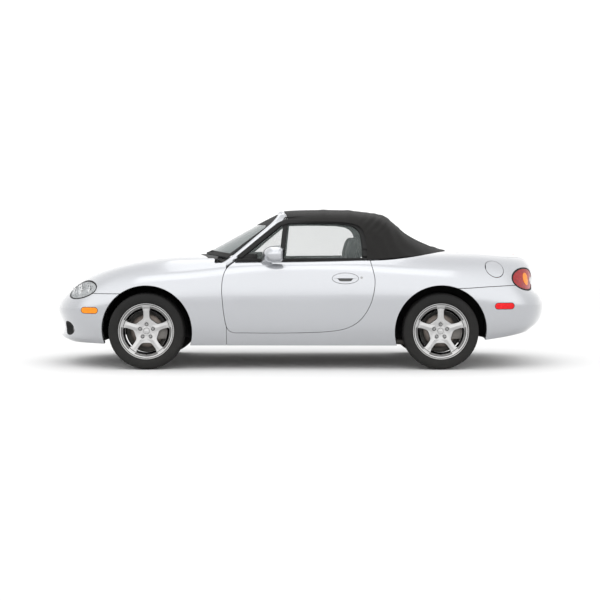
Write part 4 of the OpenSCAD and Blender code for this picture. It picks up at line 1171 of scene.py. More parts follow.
glassPiece("DoorGlass", [lambda p: -barLine(p) - 0.004], ("door_glass",))
glassPiece("QuarterLight", [lambda p: barLine(p) - 0.004], ())
bar = sweep("leftGlassBar", rise([[0.143, 0.842], [0.134, 0.92], [0.126, 1.0], [0.118, 1.07], [0.112, 1.128]],
                                 0.0015), ovalOutline(0.016, 0.038, 14, 4), up=(1, 0, 0))
bothSides(bar, "left_door", sealRubber, "right_door")
sail = sweep("leftSail", rise([[0.470, 0.850], [0.40, 0.868], [0.33, 0.872]], 0.003),
             ovalOutline(0.014, 0.05, 12, 4), up=(0, -0.5, 0.87), scale=[0.25, 1.0, 0.9])
bothSides(sail, "left_door", sealRubber, "right_door")

mirror = {"centre": (0.204, 0.885), "from": 0.800, "to": 0.952, "size": (0.152, 0.124), "flat": 0.062}
f = np.linspace(0, 1, 25)
girth = np.sqrt(np.clip(1 - np.abs(2 * f - 1) ** 2.6, 0, 1)) * (1 - 0.16 * (2 * f - 1))
nose, tail = (ovalOutline(mirror["size"][0], mirror["size"][1], 44, power) for power in (2.0, 3.4))
oval = np.where(tail[:, :1] > 0, tail, nose)
ring = np.stack([-oval[:, 0], oval[:, 1]], 1)
middle = np.stack([mirror["centre"][0] + 0.012 - 0.030 * f, mirror["from"] + (mirror["to"] - mirror["from"]) * f,
                   mirror["centre"][1] + 0.004 * f], 1)
shell = middle[:, None] + girth[:, None, None] * np.stack([ring[:, 0], 0 * ring[:, 0], ring[:, 1]], 1)[None]
rearFace = mirror["centre"][0] - mirror["flat"] - 0.024 * f[:, None]
shell[..., 0] = np.maximum(shell[..., 0], rearFace)
housing = outward(sheetMesh("left_mirror", shell, wrapColumns=True, capEnds=True))
addModifier(housing, "BEVEL", width=0.004, segments=2, limit_method="ANGLE", angle_limit=math.radians(40))
twin = mirrorPiece(housing, "right_mirror")
finishPiece(housing, paint, "left_door", ("left_mirror",))
finishPiece(twin, paint, "right_door", ("right_mirror",))
foot = sweep("leftMirrorFoot", smoothPath([[0.258, 0.768, 0.826], [0.254, 0.784, 0.836], [0.238, 0.812, 0.852],
             [0.222, 0.838, 0.868]], 6), ovalOutline(0.054, 0.078, 20, 2.6), up=(1, 0, 0),
             scale=np.linspace(1.05, 0.80, 19))
bothSides(foot, "left_door", paint, "right_door")
t = np.linspace(0.10, 0.90, 17)
girthT = np.sqrt(1 - np.abs(2 * t - 1) ** 2.6) * (1 - 0.16 * (2 * t - 1)) * 0.046
plate = np.stack([np.stack([mirror["centre"][0] - mirror["flat"] - 0.024 * t - 0.0015, mirror["from"]
                            + (mirror["to"] - mirror["from"]) * t, mirror["centre"][1] + 0.004 * t + k * girthT],
                           1) for k in np.linspace(-1, 1, 9)])
bothSides(outward(sheetMesh("leftMirrorGlass", plate)), "left_door", mirrorGlass, "right_door")
print("hood, glass and mirrors made")

# wheels: built once at the left front, then moved and mirrored


def weldCut(name, points, normals, keep, depth, rounding, wrap=False):
    # a grid of points (rows, columns) cut where keep < 0, welded along its seam, given edges and a back
    rows, columns = points.shape[:2]
    quads = gridFaces(rows, columns)
    faces = np.concatenate([quads[:, [0, 1, 2]], quads[:, [0, 2, 3]]])
    carried = np.concatenate([points.reshape(-1, 3), normals.reshape(-1, 3)], 1)
    carried, faces = cutTriangles(carried, faces, awayFromZero(keep.ravel()))
    faces, carried = compact(faces, carried)
    if wrap:
        _, first, number = np.unique(np.round(carried[:, :3], 6), axis=0, return_index=True, return_inverse=True)
        faces = number.ravel()[faces]
        faces = faces[(faces[:, 0] != faces[:, 1]) & (faces[:, 1] != faces[:, 2]) & (faces[:, 0] != faces[:, 2])]
        carried = carried[first]
        faces, carried = compact(faces, carried)
    return panelMesh(name, faces, carried[:, :3], unit(carried[:, 3:]), depth, rounding)


def smoothMax(values, blend):
    # a rounded maximum: the largest + blend * log of the sum of exp of the rest over blend
    values = np.stack(values)
    top = values.max(0)
    return top + blend * np.log(np.exp((values - top) / blend).sum(0))


def moved(piece, name, offset):
    # a copy of a piece, its mesh moved by the offset
    copy = piece.copy()
    copy.data = piece.data.copy()
    copy.name = name
    copy.parent = None
    copy.data.transform(Matrix.Translation(offset))
    bpy.context.scene.collection.objects.link(copy)
    return copy


wheel = {"spokes": 5, "hub": 0.087, "window": 0.180, "neck": 0.0200, "flare": 0.012, "nutCircle": 0.052,
         "tread": 60, "grooves": ((0.020, 0.0050), (-0.020, 0.0050), (0.052, 0.0042), (-0.052, 0.0042)),
         "grooveDepth": 0.0065}


def faceDepth(r):
    # how far out the wheel's face stands at each radius: a dished hub, spokes rising to the lip
    knots = [0, 0.020, 0.040, 0.066, 0.10, 0.14, 0.172, 0.181, 0.1835, 0.190, 0.1925, 0.200, 0.2075, 0.213, 0.216]
    depth = [0.053, 0.053, 0.052, 0.0545, 0.058, 0.063, 0.0685, 0.071, 0.0775, 0.0785, 0.0815, 0.083, 0.088,
             0.0905, 0.088]
    return np.interp(r, knots, depth)


def rimFace(centre):
    # the wheel's face on a grid of radius and angle, cut away between spokes that widen at both ends
    radii = np.concatenate([np.linspace(0.018, 0.176, 60), np.linspace(0.178, 0.216, 34)])
    angles = np.linspace(0, 2 * np.pi, 5 * 60 + 1)
    r, a = np.meshgrid(radii, angles, indexing="ij")
    half = np.pi / wheel["spokes"]
    folded = (a + half) % (2 * half) - half
    aside, along = r * np.sin(folded), r * np.cos(folded)
    flare = wheel["flare"] * (np.clip((along - 0.15) / 0.06, 0, 1) + np.clip((0.110 - along) / 0.05, 0, 1) ** 2)
    spoke = wheel["neck"] + flare - np.abs(aside)
    keep = smoothMax([smoothMax([spoke, wheel["hub"] - r], 0.0095), r - wheel["window"]], 0.0045)
    crown = (0.006 * np.clip(spoke / 0.022, 0, 1) * np.clip((r - 0.05) / 0.03, 0, 1)
             * np.clip((0.178 - r) / 0.03, 0, 1))
    well = np.hypot(r * np.cos(folded) - wheel["nutCircle"], r * np.sin(folded))
    depth = faceDepth(r) + crown - 0.007 * np.clip((0.0150 - well) / 0.0025, 0, 1)
    depth = depth - 0.006 * np.clip((0.0245 - r) / 0.003, 0, 1)
    depth = depth - 0.012 * np.clip((0.0042 - np.abs(r - 0.1900)) / 0.0015, 0, 1) * np.clip(-spoke / 0.006, 0, 1)
    points = np.stack([r * np.sin(a), depth, r * np.cos(a)], -1)
    alongR = np.gradient(points, axis=0)
    alongA = np.gradient(points, axis=1)
    alongA[:, 0] = alongA[:, -1] = points[:, 1] - points[:, -2]
    normals = unit(np.cross(alongA, alongR))
    normals = normals * np.sign(normals[..., 1:2] + 1e-9)
    return weldCut("rimFace", points + np.array(centre), normals, keep, 0.021, 0.0042, wrap=True)


def rimBarrel(centre):
    # the well that the tyre sits on, seen from behind and between the spokes
    profile = smoothPath([[0.072, 0.180], [0.060, 0.178], [0.0, 0.176], [-0.060, 0.182], [-0.078, 0.190],
                          [-0.086, 0.205], [-0.091, 0.2155], [-0.0935, 0.2155], [-0.094, 0.212], [-0.088, 0.203],
                          [-0.060, 0.197], [0.0, 0.190], [0.060, 0.196], [0.082, 0.202], [0.088, 0.206],
                          [0.0895, 0.2155], [0.086, 0.2155], [0.082, 0.206]], 3, closed=True)
    return turned("rimBarrel", profile, centre, count=96, closedProfile=True)


def nutsAndCap(centre):
    # five turned nuts on a circle, the domed cap and the valve
    made = []
    centre = np.array(centre)
    for k in range(wheel["spokes"]):
        a = 2 * math.pi * k / wheel["spokes"]
        spot = centre + [wheel["nutCircle"] * math.sin(a), 0, wheel["nutCircle"] * math.cos(a)]
        profile = np.array([[0.044, 0.0], [0.044, 0.0105], [0.0495, 0.0105], [0.0500, 0.0098], [0.0585, 0.0094],
                            [0.0605, 0.0075], [0.0615, 0.0045], [0.0615, 0.0001]])
        made.append(turned("nut", profile, spot, count=6))
    nuts = joinPieces("nuts", made)
    nuts.data.polygons.foreach_set("use_smooth", np.zeros(len(nuts.data.polygons), dtype=bool))
    cap = turned("cap", smoothPath([[0.046, 0.0235], [0.0525, 0.0225], [0.0555, 0.0205], [0.0570, 0.0165],
                                    [0.0562, 0.0140], [0.0575, 0.0115], [0.0585, 0.006], [0.0588, 0.0002]], 4),
                 centre, count=48)
    valve = tube("valve", centre + np.array([[0, 0.066, -0.186], [0, 0.074, -0.181], [0, 0.084, -0.177]]), 0.0032,
                 3, 12)
    return nuts, cap, valve


def tyre(centre):
    # sidewalls with moulded ribs, a crowned tread with four grooves and slanting slots at the shoulders
    side = smoothPath([[0.0830, 0.2125], [0.0880, 0.2165], [0.0945, 0.2215], [0.0995, 0.2330], [0.1013, 0.2480],
                       [0.1005, 0.2620], [0.0975, 0.2730], [0.0930, 0.2815], [0.0868, 0.2880]], 3)
    outerY, outerR = side[:, 0], side[:, 1]
    rib = 0.0009 * (np.abs((outerR - 0.2265) % 0.0420 - 0.021) < 0.0035)
    outerY = outerY + rib * (outerR > 0.219) * (outerR < 0.281)
    across = np.linspace(0.0845, -0.0845, 47)
    crown = 0.2949 - 0.0052 * np.abs(across / 0.0845) ** 2.6
    y = np.concatenate([outerY, across, -outerY[::-1]])
    r = np.concatenate([outerR, crown, outerR[::-1]])
    slots = wheel["tread"]
    angle = np.arange(slots * 8) * 2 * np.pi / (slots * 8)
    yy, aa = np.meshgrid(y, angle, indexing="ij")
    tread = (np.abs(yy) < 0.0860)
    groove = np.zeros_like(yy)
    for place, width in wheel["grooves"]:
        groove = np.maximum(groove, np.clip((width - np.abs(yy - place)) / 0.0012, 0, 1))
    phase = (aa * slots / (2 * np.pi) + yy * 9.0 * np.sign(yy) + 0.25 * (yy > 0)) % 1.0
    slotted = (np.abs(yy) > 0.056) | (np.abs(np.abs(yy) - 0.035) < 0.010)
    slot = np.clip((0.16 - np.abs(phase - 0.5)) / 0.05, 0, 1) * slotted
    rr = r[:, None] - wheel["grooveDepth"] * tread * np.maximum(groove, 0.75 * slot)
    points = np.array(centre) + np.stack([rr * np.sin(aa), yy, rr * np.cos(aa)], -1)
    bead, innerBead = [
        np.array(centre) + np.stack([0.2085 * np.sin(angle), np.full_like(angle, aside),
                                     0.2085 * np.cos(angle)], -1)[None] for aside in (0.078, -0.078)]
    return outward(sheetMesh("tyre", np.concatenate([bead, points, innerBead]), wrapRows=True, wrapColumns=True))


def brakeDisc(centre):
    # a vented disc and its hat, turned about the axle
    return turned("brakeDisc", smoothPath([[-0.013, 0.030], [-0.013, 0.1270], [-0.0120, 0.1280],
                                           [-0.0065, 0.1280], [-0.0060, 0.1262], [-0.0020, 0.1262],
                                           [-0.0015, 0.1280], [0.0045, 0.1280], [0.0055, 0.1270],
                                           [0.0058, 0.0850], [0.0065, 0.0800], [0.0290, 0.0765], [0.0300, 0.0750],
                                           [0.0300, 0.030]], 1), centre, count=96)


def buildWheels():
    # each part made once at the left front, then moved to the rear and mirrored
    start = tuple(frontHub)
    parts = {"rim": rimFace(start), "barrel": rimBarrel(start), "tyre": tyre(start), "disc": brakeDisc(start)}
    nuts, cap, valve = nutsAndCap(start)
    parts.update({"nuts": nuts, "cap": cap, "valve": valve})
    looks = {"rim": rimSilver, "barrel": barrelDark, "tyre": tyreRubber, "disc": discIron, "nuts": boltSteel,
             "cap": rimSilver, "valve": sealRubber}
    stands = {"rim": "rim", "barrel": "rim", "tyre": "tyre", "disc": "disc"}
    offsets = {"front": (0, 0, 0), "rear": tuple(rearHub - frontHub)}
    for part, piece in parts.items():
        piece.name = "base_" + part
        for end, offset in offsets.items():
            leftPiece = moved(piece, f"left_{end}_{part}", offset)
            rightPiece = mirrorPiece(leftPiece, f"right_{end}_{part}")
            for side, made in (("left", leftPiece), ("right", rightPiece)):
                replaced = (f"{side}_{end}_{stands[part]}",) if part in stands else ()
                finishPiece(made, looks[part], f"{side}_{end}_wheel", replaced)
        bpy.data.objects.remove(piece)


buildWheels()
shield = {"front": 0.683, "rear": 0.691, "radius": 0.170}
for end, hub, root, bodies in (("Front", frontHub, 0.681, ("left_knuckle", "right_knuckle")),
                               ("Rear", rearHub, 0.664, ("body", "body"))):
    back = shield[end.lower()]
    profile = [[root, 0.049], [root, 0.060], [back, 0.082], [back, 0.156], [back - 0.008, shield["radius"]],
               [back - 0.0095, shield["radius"] - 0.001], [back - 0.0018, 0.155], [back - 0.0018, 0.083],
               [root - 0.0018, 0.062], [root - 0.0018, 0.049]]
    guard = turned(f"left{end}Shield", np.array(profile), (hub[0], 0, hub[2]), count=72, closedProfile=True)
    bothSides(guard, bodies[0], underPaint, bodies[1])
print("wheels made")

# seats: padded forms, swelled by a cloth simulation

seat = {"centre": 0.356, "voxel": 0.008, "pressure": 4.0, "swell": 0.010, "channel": 0.0055}


def padForm(name, size, power, place, tilt, bolster=0.0, waist=0.0):
    # a superellipsoid: x = a c(v) c(u), y = b c(v) s(u), z = c s(v), each to the power 2 / p; raised sides
    u, v = np.meshgrid(np.arange(64) * 2 * np.pi / 64, np.linspace(-np.pi / 2, np.pi / 2, 41), indexing="xy")
    def rounded(value):
        return np.sign(value) * np.abs(value) ** (2 / power)
    x = rounded(np.cos(v)) * rounded(np.cos(u)) * size[0] / 2
    y = rounded(np.cos(v)) * rounded(np.sin(u)) * size[1] / 2
    z = rounded(np.sin(v)) * size[2] / 2
    thin, long = (x, z) if size[0] < size[2] else (z, x)
    lift = bolster * np.clip((np.abs(y) / (size[1] / 2) - 0.5) / 0.4, 0, 1) ** 2 * (thin > 0)
    y = y * (1 - waist * (long / np.abs(long).max()) ** 2)
    x, z = (x + lift, z) if size[0] < size[2] else (x, z + lift)
    a = math.radians(tilt)
    points = np.stack([x * math.cos(a) + z * math.sin(a), y, z * math.cos(a) - x * math.sin(a)], -1) + place
    return outward(sheetMesh(name, points, wrapColumns=True))


def puffed(piece, voxel, pressure, cap):
    # an even mesh, blown up a little as cloth; no point moves further than the cap
    bpy.context.view_layer.objects.active = piece
    addModifier(piece, "REMESH", mode="VOXEL", voxel_size=voxel, use_smooth_shade=True)
    bpy.ops.object.modifier_apply(modifier=piece.modifiers[0].name)
    mesh = piece.data
    start = readAll(mesh.vertices, "co", 3)
    cover = addModifier(piece, "CLOTH")
    cover.settings.use_pressure = True
    cover.settings.uniform_pressure_force = pressure
    cover.settings.effector_weights.gravity = 0
    cover.settings.quality = 4
    cover.point_cache.frame_start, cover.point_cache.frame_end = 1, 20
    for number in range(1, 21):
        bpy.context.scene.frame_set(number)
    solved = piece.evaluated_get(bpy.context.evaluated_depsgraph_get()).to_mesh()
    shift = readAll(solved.vertices, "co", 3) - start
    piece.modifiers.remove(cover)
    bpy.context.scene.frame_set(1)
    far = np.linalg.norm(shift, axis=1, keepdims=True)
    mesh.vertices.foreach_set("co", (start + shift * np.minimum(1, cap / np.maximum(far, 1e-9))).ravel())
    mesh.update()
    return piece


def sewn(piece, place, tilt, lines):
    # sewn channels pressed in along lines of constant side or length: (axis, where, how deep)
    mesh = piece.data
    points, normals = readAll(mesh.vertices, "co", 3), readAll(mesh.vertices, "normal", 3)
    a = math.radians(tilt)
    local = (points - place) @ np.array(
        [[math.cos(a), 0, math.sin(a)], [0, 1, 0], [-math.sin(a), 0, math.cos(a)]])
    for axis, where, depth in lines:
        gap = np.abs(local[:, axis]) - where if axis == 1 else local[:, axis] - where
        points = points - normals * (depth * np.exp(-(gap / 0.007) ** 2))[:, None]
    mesh.vertices.foreach_set("co", points.astype(np.float32).ravel())
    mesh.update()
    return piece


def seatPart(name, size, power, place, tilt, bolster, waist, lines, replaced):
    # one pad of the left seat, and its twin in the right seat
    place = np.array(place)
    piece = puffed(padForm("left" + name, size, power, place, tilt, bolster, waist), seat["voxel"],
                   seat["pressure"], seat["swell"])
    sewn(piece, place, tilt, lines)
    addModifier(piece, "SUBSURF", levels=1, render_levels=1)
    for made, side in ((piece, "left"), (mirrorPiece(piece, "right" + name), "right")):
        finishPiece(made, seatCloth, "body", (f"{side}_seat",) if replaced else ())


deep = seat["channel"]
seatPart("SeatCushion", (0.510, 0.425, 0.120), 4.2, (-0.090, seat["centre"], 0.312), -9, 0.016, 0.03,
         [(1, 0.130, deep), (0, 0.060, deep * 0.6), (0, -0.060, deep * 0.6)], True)
seatPart("SeatBack", (0.108, 0.405, 0.545), 3.6, (-0.372, seat["centre"], 0.592), -17, 0.020, 0.06,
         [(1, 0.122, deep), (2, 0.040, deep * 0.6), (2, -0.070, deep * 0.6)], False)
seatPart("Headrest", (0.090, 0.245, 0.205), 3.0, (-0.412, seat["centre"], 0.914), -14, 0.004, 0.05,
         [(1, 0.085, deep * 0.5)], False)
for side, sign in (("left", 1), ("right", -1)):
    for aside in (-0.055, 0.055):
        y = sign * seat["centre"] + aside
        finishPiece(tube("headrestRod", [[-0.436, y, 0.80], [-0.415, y, 0.88]], 0.006, 0, 12), chrome)
    base = boxShape(side + "SeatBase", (-0.305, sign * seat["centre"] - 0.175, 0.203),
                    (0.10, sign * seat["centre"] + 0.175, 0.262), 0.008)
    finishPiece(base, cabinPlastic)

# dashboard, console and steering wheel

dash = {"half": 0.660, "hood": (0.356, 0.165, 0.026), "vents": (-0.600, -0.075, 0.075, 0.600)}
profile = np.concatenate([line([[572, 600], [572, 700], [572, 822]], 4),
                          line([[634, 824], [634, 843], [590, 847]], 3),
                          line([[520, 848], [440, 840], [400, 815], [380, 785], [374, 755], [384, 715],
                                [430, 660], [470, 612], [572, 590]], 6)])
across = np.linspace(-dash["half"], dash["half"], 121)
points = np.stack(np.broadcast_arrays(profile[:, 0], across[:, None], profile[:, 1]), -1)
bulge = np.exp(-((across - dash["hood"][0]) / dash["hood"][1]) ** 4)[:, None]
upper = np.clip((points[..., 2] - 0.79) / 0.05, 0, 1) * np.clip((0.56 - points[..., 0]) / 0.05, 0, 1)
points[..., 2] += dash["hood"][2] * bulge * upper * 0.5
points[..., 0] -= 0.020 * bulge * upper * np.clip((0.47 - points[..., 0]) / 0.05, 0, 1)
points[..., 0] += 0.010 * np.exp(-((points[..., 2] - 0.735) / 0.004) ** 2) * (points[..., 0] < 0.45)
dashTop = outward(sheetMesh("dashboard", points, wrapColumns=True, capEnds=True))
finishPiece(dashTop, cabinPlastic, "body", ("dashboard",))


def disc(name, centre, axis, radius, depth, material, ring=0.0):
    # a turned disc with a bevelled rim, sunk within its ring
    bevel = min(0.003, radius * 0.2)
    profile = [[0, radius], [depth - bevel, radius], [depth, radius - bevel]]
    if ring:
        profile += [[depth, radius - ring], [depth - 0.006, radius - ring - 0.002]]
    profile += [[profile[-1][0], 0.0005]]
    return finishPiece(turned(name, profile, centre, axis, 40), material)


for y in dash["vents"]:
    disc("vent", (0.380, y, 0.790), (-1, 0, 0.25), 0.038, 0.010, blackPlastic, 0.006)
    for k in (-0.014, 0, 0.014):
        finishPiece(boxShape("ventBlade", (0.366, y - 0.029, 0.788 + k), (0.376, y + 0.029, 0.791 + k), 0.001),
                    cabinPlastic)
for y, size in ((0.300, 0.045), (0.412, 0.045), (0.356, 0.026)):
    disc("dial", (0.374, y, 0.812 - (0.018 if size < 0.03 else 0)), (-1, 0, 0.3), size, 0.014, gapBlack, 0.004)
finishPiece(boxShape("gloveBox", (0.366, -0.560, 0.640), (0.392, -0.220, 0.728), 0.006), cabinPlastic)
finishPiece(boxShape("centreStack", (0.362, -0.088, 0.560), (0.420, 0.088, 0.775), 0.008), cabinPlastic)
finishPiece(boxShape("radioFace", (0.357, -0.080, 0.685), (0.366, 0.080, 0.735), 0.002), blackPlastic)
for y in (-0.055, 0, 0.055):
    disc("heaterKnob", (0.364, y, 0.640), (-1, 0, 0), 0.019, 0.020, blackPlastic, 0.004)

top = line([[-560, 402], [-560, 500], [-420, 520], [-180, 508], [-40, 470], [160, 470], [300, 520], [400, 640],
            [520, 655], [520, 402]], 5)
shelf = np.linspace(-1, 1, 15)
width = 0.094 * (1 - 0.10 * np.clip((top[:, 1] - 0.45) / 0.2, 0, 1))
crown = 0.010 * (1 - shelf ** 4)
consoleShape = np.stack([np.broadcast_to(top[:, 0], (15, len(top))), shelf[:, None] * width[None],
                         top[None, :, 1] - 0.010 + crown[:, None] * (top[None, :, 1] > 0.43)], -1)
finishPiece(outward(sheetMesh("console", consoleShape, wrapColumns=True, capEnds=True)), cabinPlastic)
finishPiece(turned("gearBoot", smoothPath([[0, 0.046], [0.012, 0.044], [0.022, 0.034], [0.036, 0.026],
                                           [0.048, 0.012]], 4), (0.060, 0, 0.468), (0, 0, 1), 40), wheelLeather)
finishPiece(tube("gearLever", [[0.060, 0, 0.50], [0.058, 0, 0.545]], 0.007, 0, 14), chrome)
finishPiece(turned("gearKnob", smoothPath([[0.0, 0.008], [0.004, 0.017], [0.018, 0.025], [0.034, 0.024],
                                           [0.044, 0.015], [0.046, 0.0005]], 5), (0.058, 0, 0.528), (0, 0, 1),
                   32), wheelLeather)
finishPiece(tube("handbrake", [[-0.24, -0.050, 0.520], [-0.14, -0.050, 0.538], [0.0, -0.050, 0.548]], 0.013, 6,
                 18), wheelLeather)
for y, width in ((0.290, 0.05), (0.365, 0.06), (0.440, 0.045)):
    finishPiece(boxShape("pedal", (0.486, y - width / 2, 0.300), (0.498, y + width / 2, 0.365), 0.004),
                blackPlastic)
    finishPiece(tube("pedalArm", [[0.498, y, 0.340], [0.55, y, 0.45], [0.57, y, 0.60]], 0.007, 5, 10), castIron)

wheelHub = np.array([0.225, 0.356, 0.690])
column = {"tilt": 22, "radius": 0.167, "grip": (0.029, 0.027)}
lean = math.radians(column["tilt"])
outAxis = np.array([-math.cos(lean), 0, math.sin(lean)])  # towards the driver
upAxis = np.array([math.sin(lean), 0, math.cos(lean)])
sideAxis = np.array([0, 1.0, 0])


def onWheel(side, up, out):
    # places on the steering wheel, from its middle
    side, up, out = np.broadcast_arrays(*[np.asarray(v, dtype=float) for v in (side, up, out)])
    return wheelHub + side[..., None] * sideAxis + up[..., None] * upAxis + out[..., None] * outAxis


a = np.arange(96) * 2 * np.pi / 96
ringLine = onWheel(column["radius"] * np.cos(a), column["radius"] * np.sin(a), 0 * a)
finishPiece(sweep("steering_wheel", ringLine, ovalOutline(*column["grip"], 20), closed=True, up=outAxis),
            wheelLeather, "steering_wheel", ("steering_wheel",))
for a in (10, 170, 250, 290):
    c, s = math.cos(math.radians(a)), math.sin(math.radians(a))
    arm = onWheel(np.linspace(0.04, 0.163, 7) * c, np.linspace(0.04, 0.163, 7) * s, np.linspace(-0.012, 0, 7))
    finishPiece(sweep("wheelSpoke", arm, ovalOutline(0.040 if abs(s) < 0.5 else 0.024, 0.012, 16, 3.5),
                      up=outAxis, scale=np.linspace(1.2, 0.8, 7)), cabinPlastic, "steering_wheel")
u, v = np.meshgrid(np.arange(48) * 2 * np.pi / 48, np.linspace(-np.pi / 2, np.pi / 2, 21), indexing="xy")
q = 2 / 3.0
pad = onWheel(0.075 * np.sign(np.cos(u)) * np.abs(np.cos(u)) ** q * np.cos(v) ** q,
              0.062 * np.sign(np.sin(u)) * np.abs(np.sin(u)) ** q * np.cos(v) ** q, 0.022 * np.sin(v) - 0.018)
finishPiece(outward(sheetMesh("wheelPad", pad, wrapColumns=True)), cabinPlastic, "steering_wheel")
finishPiece(tube("columnShaft", [onWheel(0, 0, -0.02), onWheel(0, 0, -0.128)], 0.0135, 0, 20), castIron,
            "steering_wheel")
finishPiece(turned("columnShroud", smoothPath([[0.072, 0.018], [0.074, 0.036], [0.084, 0.042], [0.20, 0.046],
            [0.262, 0.050]], 5), wheelHub, -outAxis, 40), cabinPlastic)
for sign in (1, -1):
    stalk = [onWheel(sign * 0.03, 0.0, -0.085), onWheel(sign * 0.10, 0.012, -0.075),
             onWheel(sign * 0.155, 0.02, -0.062)]
    finishPiece(tube("columnStalk", stalk, 0.007, 6, 12), blackPlastic)

# carpet, rear shelf and the doors' inner faces


def flippedBody(lift, span=15.0):
    # the body's surface moved inwards and facing in
    def at(s, t):
        p, n = bodySurface(span - s, t)
        return p - n * lift, -n
    return at


card = bodyPanel("leftDoorCard", (5.2, 8.4), (1.2, 8.4), [
    lambda p: outlineDistance(p[:, sideView], doorOutline) - 0.016, lambda p: 0.815 - p[:, 2]], body="left_door",
    replaced=(), material=cabinPlastic, depth=0.004, surface=flippedBody(0.062))
finishPiece(mirrorPiece(card, "rightDoorCard"), None, "right_door")
rest = sweep("leftArmrest", smoothPath([[0.30, 0.724, 0.60], [0.20, 0.704, 0.600], [0.0, 0.700, 0.592],
             [-0.25, 0.704, 0.594], [-0.33, 0.724, 0.60]], 6), ovalOutline(0.036, 0.060, 18, 3))
bothSides(rest, "left_door", cabinPlastic, "right_door")
pull = sweep("leftInnerHandle", smoothPath([[0.24, 0.725, 0.70], [0.21, 0.712, 0.70], [0.16, 0.712, 0.70],
             [0.13, 0.725, 0.70]], 5), ovalOutline(0.010, 0.020, 12, 3))
bothSides(pull, "left_door", chrome, "right_door")
x, y = np.meshgrid(np.linspace(-0.632, 0.590, 60), np.linspace(0.134, 0.596, 24), indexing="ij")
ramped = 0.10 * np.clip((x - 0.44) / 0.15, 0, 1) ** 1.6
mat = np.stack([x, y, 0.2035 + ramped + 0.0015 * np.sin(x * 21) * np.sin(y * 17)], -1)
carpetPiece = outward(sheetMesh("leftCarpet", mat))
addModifier(carpetPiece, "SOLIDIFY", thickness=0.006, offset=1)
for piece in bothSides(carpetPiece, material=carpet):
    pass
finishPiece(boxShape("rearShelf", (-0.655, -0.60, 0.800), (-0.560, 0.60, 0.818), 0.006), carpet)
finishPiece(boxShape("rearTrim", (-0.638, -0.678, 0.204), (-0.630, 0.678, 0.802), 0.003), carpet)
finishPiece(boxShape("tunnelCarpet", (-0.630, -0.133, 0.203), (0.590, 0.133, 0.4035), 0.02), carpet)
mirrorIn = boxShape("innerMirror", (0.170, -0.115, 1.090), (0.192, 0.115, 1.140), 0.010)
finishPiece(mirrorIn, blackPlastic)
finishPiece(tube("innerMirrorStem", [[0.190, 0, 1.125], [0.225, 0, 1.155], [0.252, 0, 1.166]], 0.006, 4, 10),
            blackPlastic)
print("cabin made")

# lamps


def lampBowl(lamp, deep, edgeWidth):
    # the body's surface sunk into a bowl: depth rises smoothly from the rim inwards
    test = inLamp(lamp, -0.002)

    def at(s, t):
        p, n = bodySurface(s, t)
        f = np.clip(test(p) / edgeWidth, 0, 1)
        sink = deep * (f * f * (3 - 2 * f)) + 0.004
        return p - n * sink[:, None], n
    return at


def sidePair(name, sRange, tRange, keep, material, depth, surface, density=(22, 22), body="body"):
    # a thin panel on the left and its twin
    piece = bodyPanel("left" + name, sRange, tRange, keep, body=body, replaced=(), material=material,
                      density=density, depth=depth, surface=surface)
    return piece, finishPiece(mirrorPiece(piece, "right" + name), None, body.replace("left", "right"), ())


def lifted(height):
    # the body's surface moved out by a height
    return lambda s, t: (lambda p, n: (p + n * height, n))(*bodySurface(s, t))


sidePair("LampBowl", (0, 5), (3, 10), [inLamp(headLamp, -0.0035)], reflector, 0.003,
         lampBowl(headLamp, 0.040, 0.030))
for centre, radius in (((1.700, 0.570, 0.606), 0.050), ((1.622, 0.642, 0.612), 0.034),
                       ((1.764, 0.486, 0.590), 0.030)):
    for sign in (1, -1):
        spot = (centre[0], sign * centre[1], centre[2])
        way = unit(np.array([0.92, sign * 0.36, 0.10]))
        dish = [[0.024, radius + 0.002], [0.026, radius], [0.020, radius - 0.003], [0.008, radius * 0.72],
                [0.0, radius * 0.40], [-0.002, radius * 0.22], [0.012, radius * 0.20], [0.020, radius * 0.14],
                [0.022, 0.0005]]
        finishPiece(turned("lampDish", smoothPath(dish, 2), spot, way, 40), chrome)
lens, _ = sidePair("HeadLens", (0, 5), (3, 10), [keepIn(inLamp(headLamp), 0.0012)], lampGlass, 0.003,
                   lifted(-0.0005))
sidePair("LampEdge", (0, 5), (3, 10), [keepIn(inLamp(headLamp, 0.001), 0.0002),
         lambda p: 0.0062 - inLamp(headLamp, 0.001)(p)], sealRubber, 0.004, lifted(0.0006))
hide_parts("headlamps")

rearLens, _ = sidePair("TailLens", (10, 15), (2, 10), [keepIn(inLamp(tailLamp), 0.0012)], redLens, 0.006,
                       lifted(0.0015))
sidePair("TailEdge", (10, 15), (2, 10), [keepIn(inLamp(tailLamp, 0.001), 0.0002),
         lambda p: 0.0085 - inLamp(tailLamp, 0.001)(p)], sealRubber, 0.004, lifted(0.0030))
amberSpot = dict(tailLamp, centre=(-1.752, 0.552, 0.692), halfWidth=0.038, halfHeight=0.048)
sidePair("TailAmber", (10, 15), (2, 10), [inLamp(amberSpot)], amberLens, 0.003, lifted(0.0034))
whiteSpot = dict(tailLamp, centre=(-1.822, 0.452, 0.676), halfWidth=0.030, halfHeight=0.030)
sidePair("TailWhite", (10, 15), (2, 10), [inLamp(whiteSpot)], reflector, 0.003, lifted(0.0034))
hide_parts("tail_lamps")


def pill(x, z, width, height):
    # a rounded bar in side view
    return lambda p: height / 2 - np.hypot(np.maximum(np.abs(p[:, 0] - x) - (width - height) / 2, 0), p[:, 2] - z)


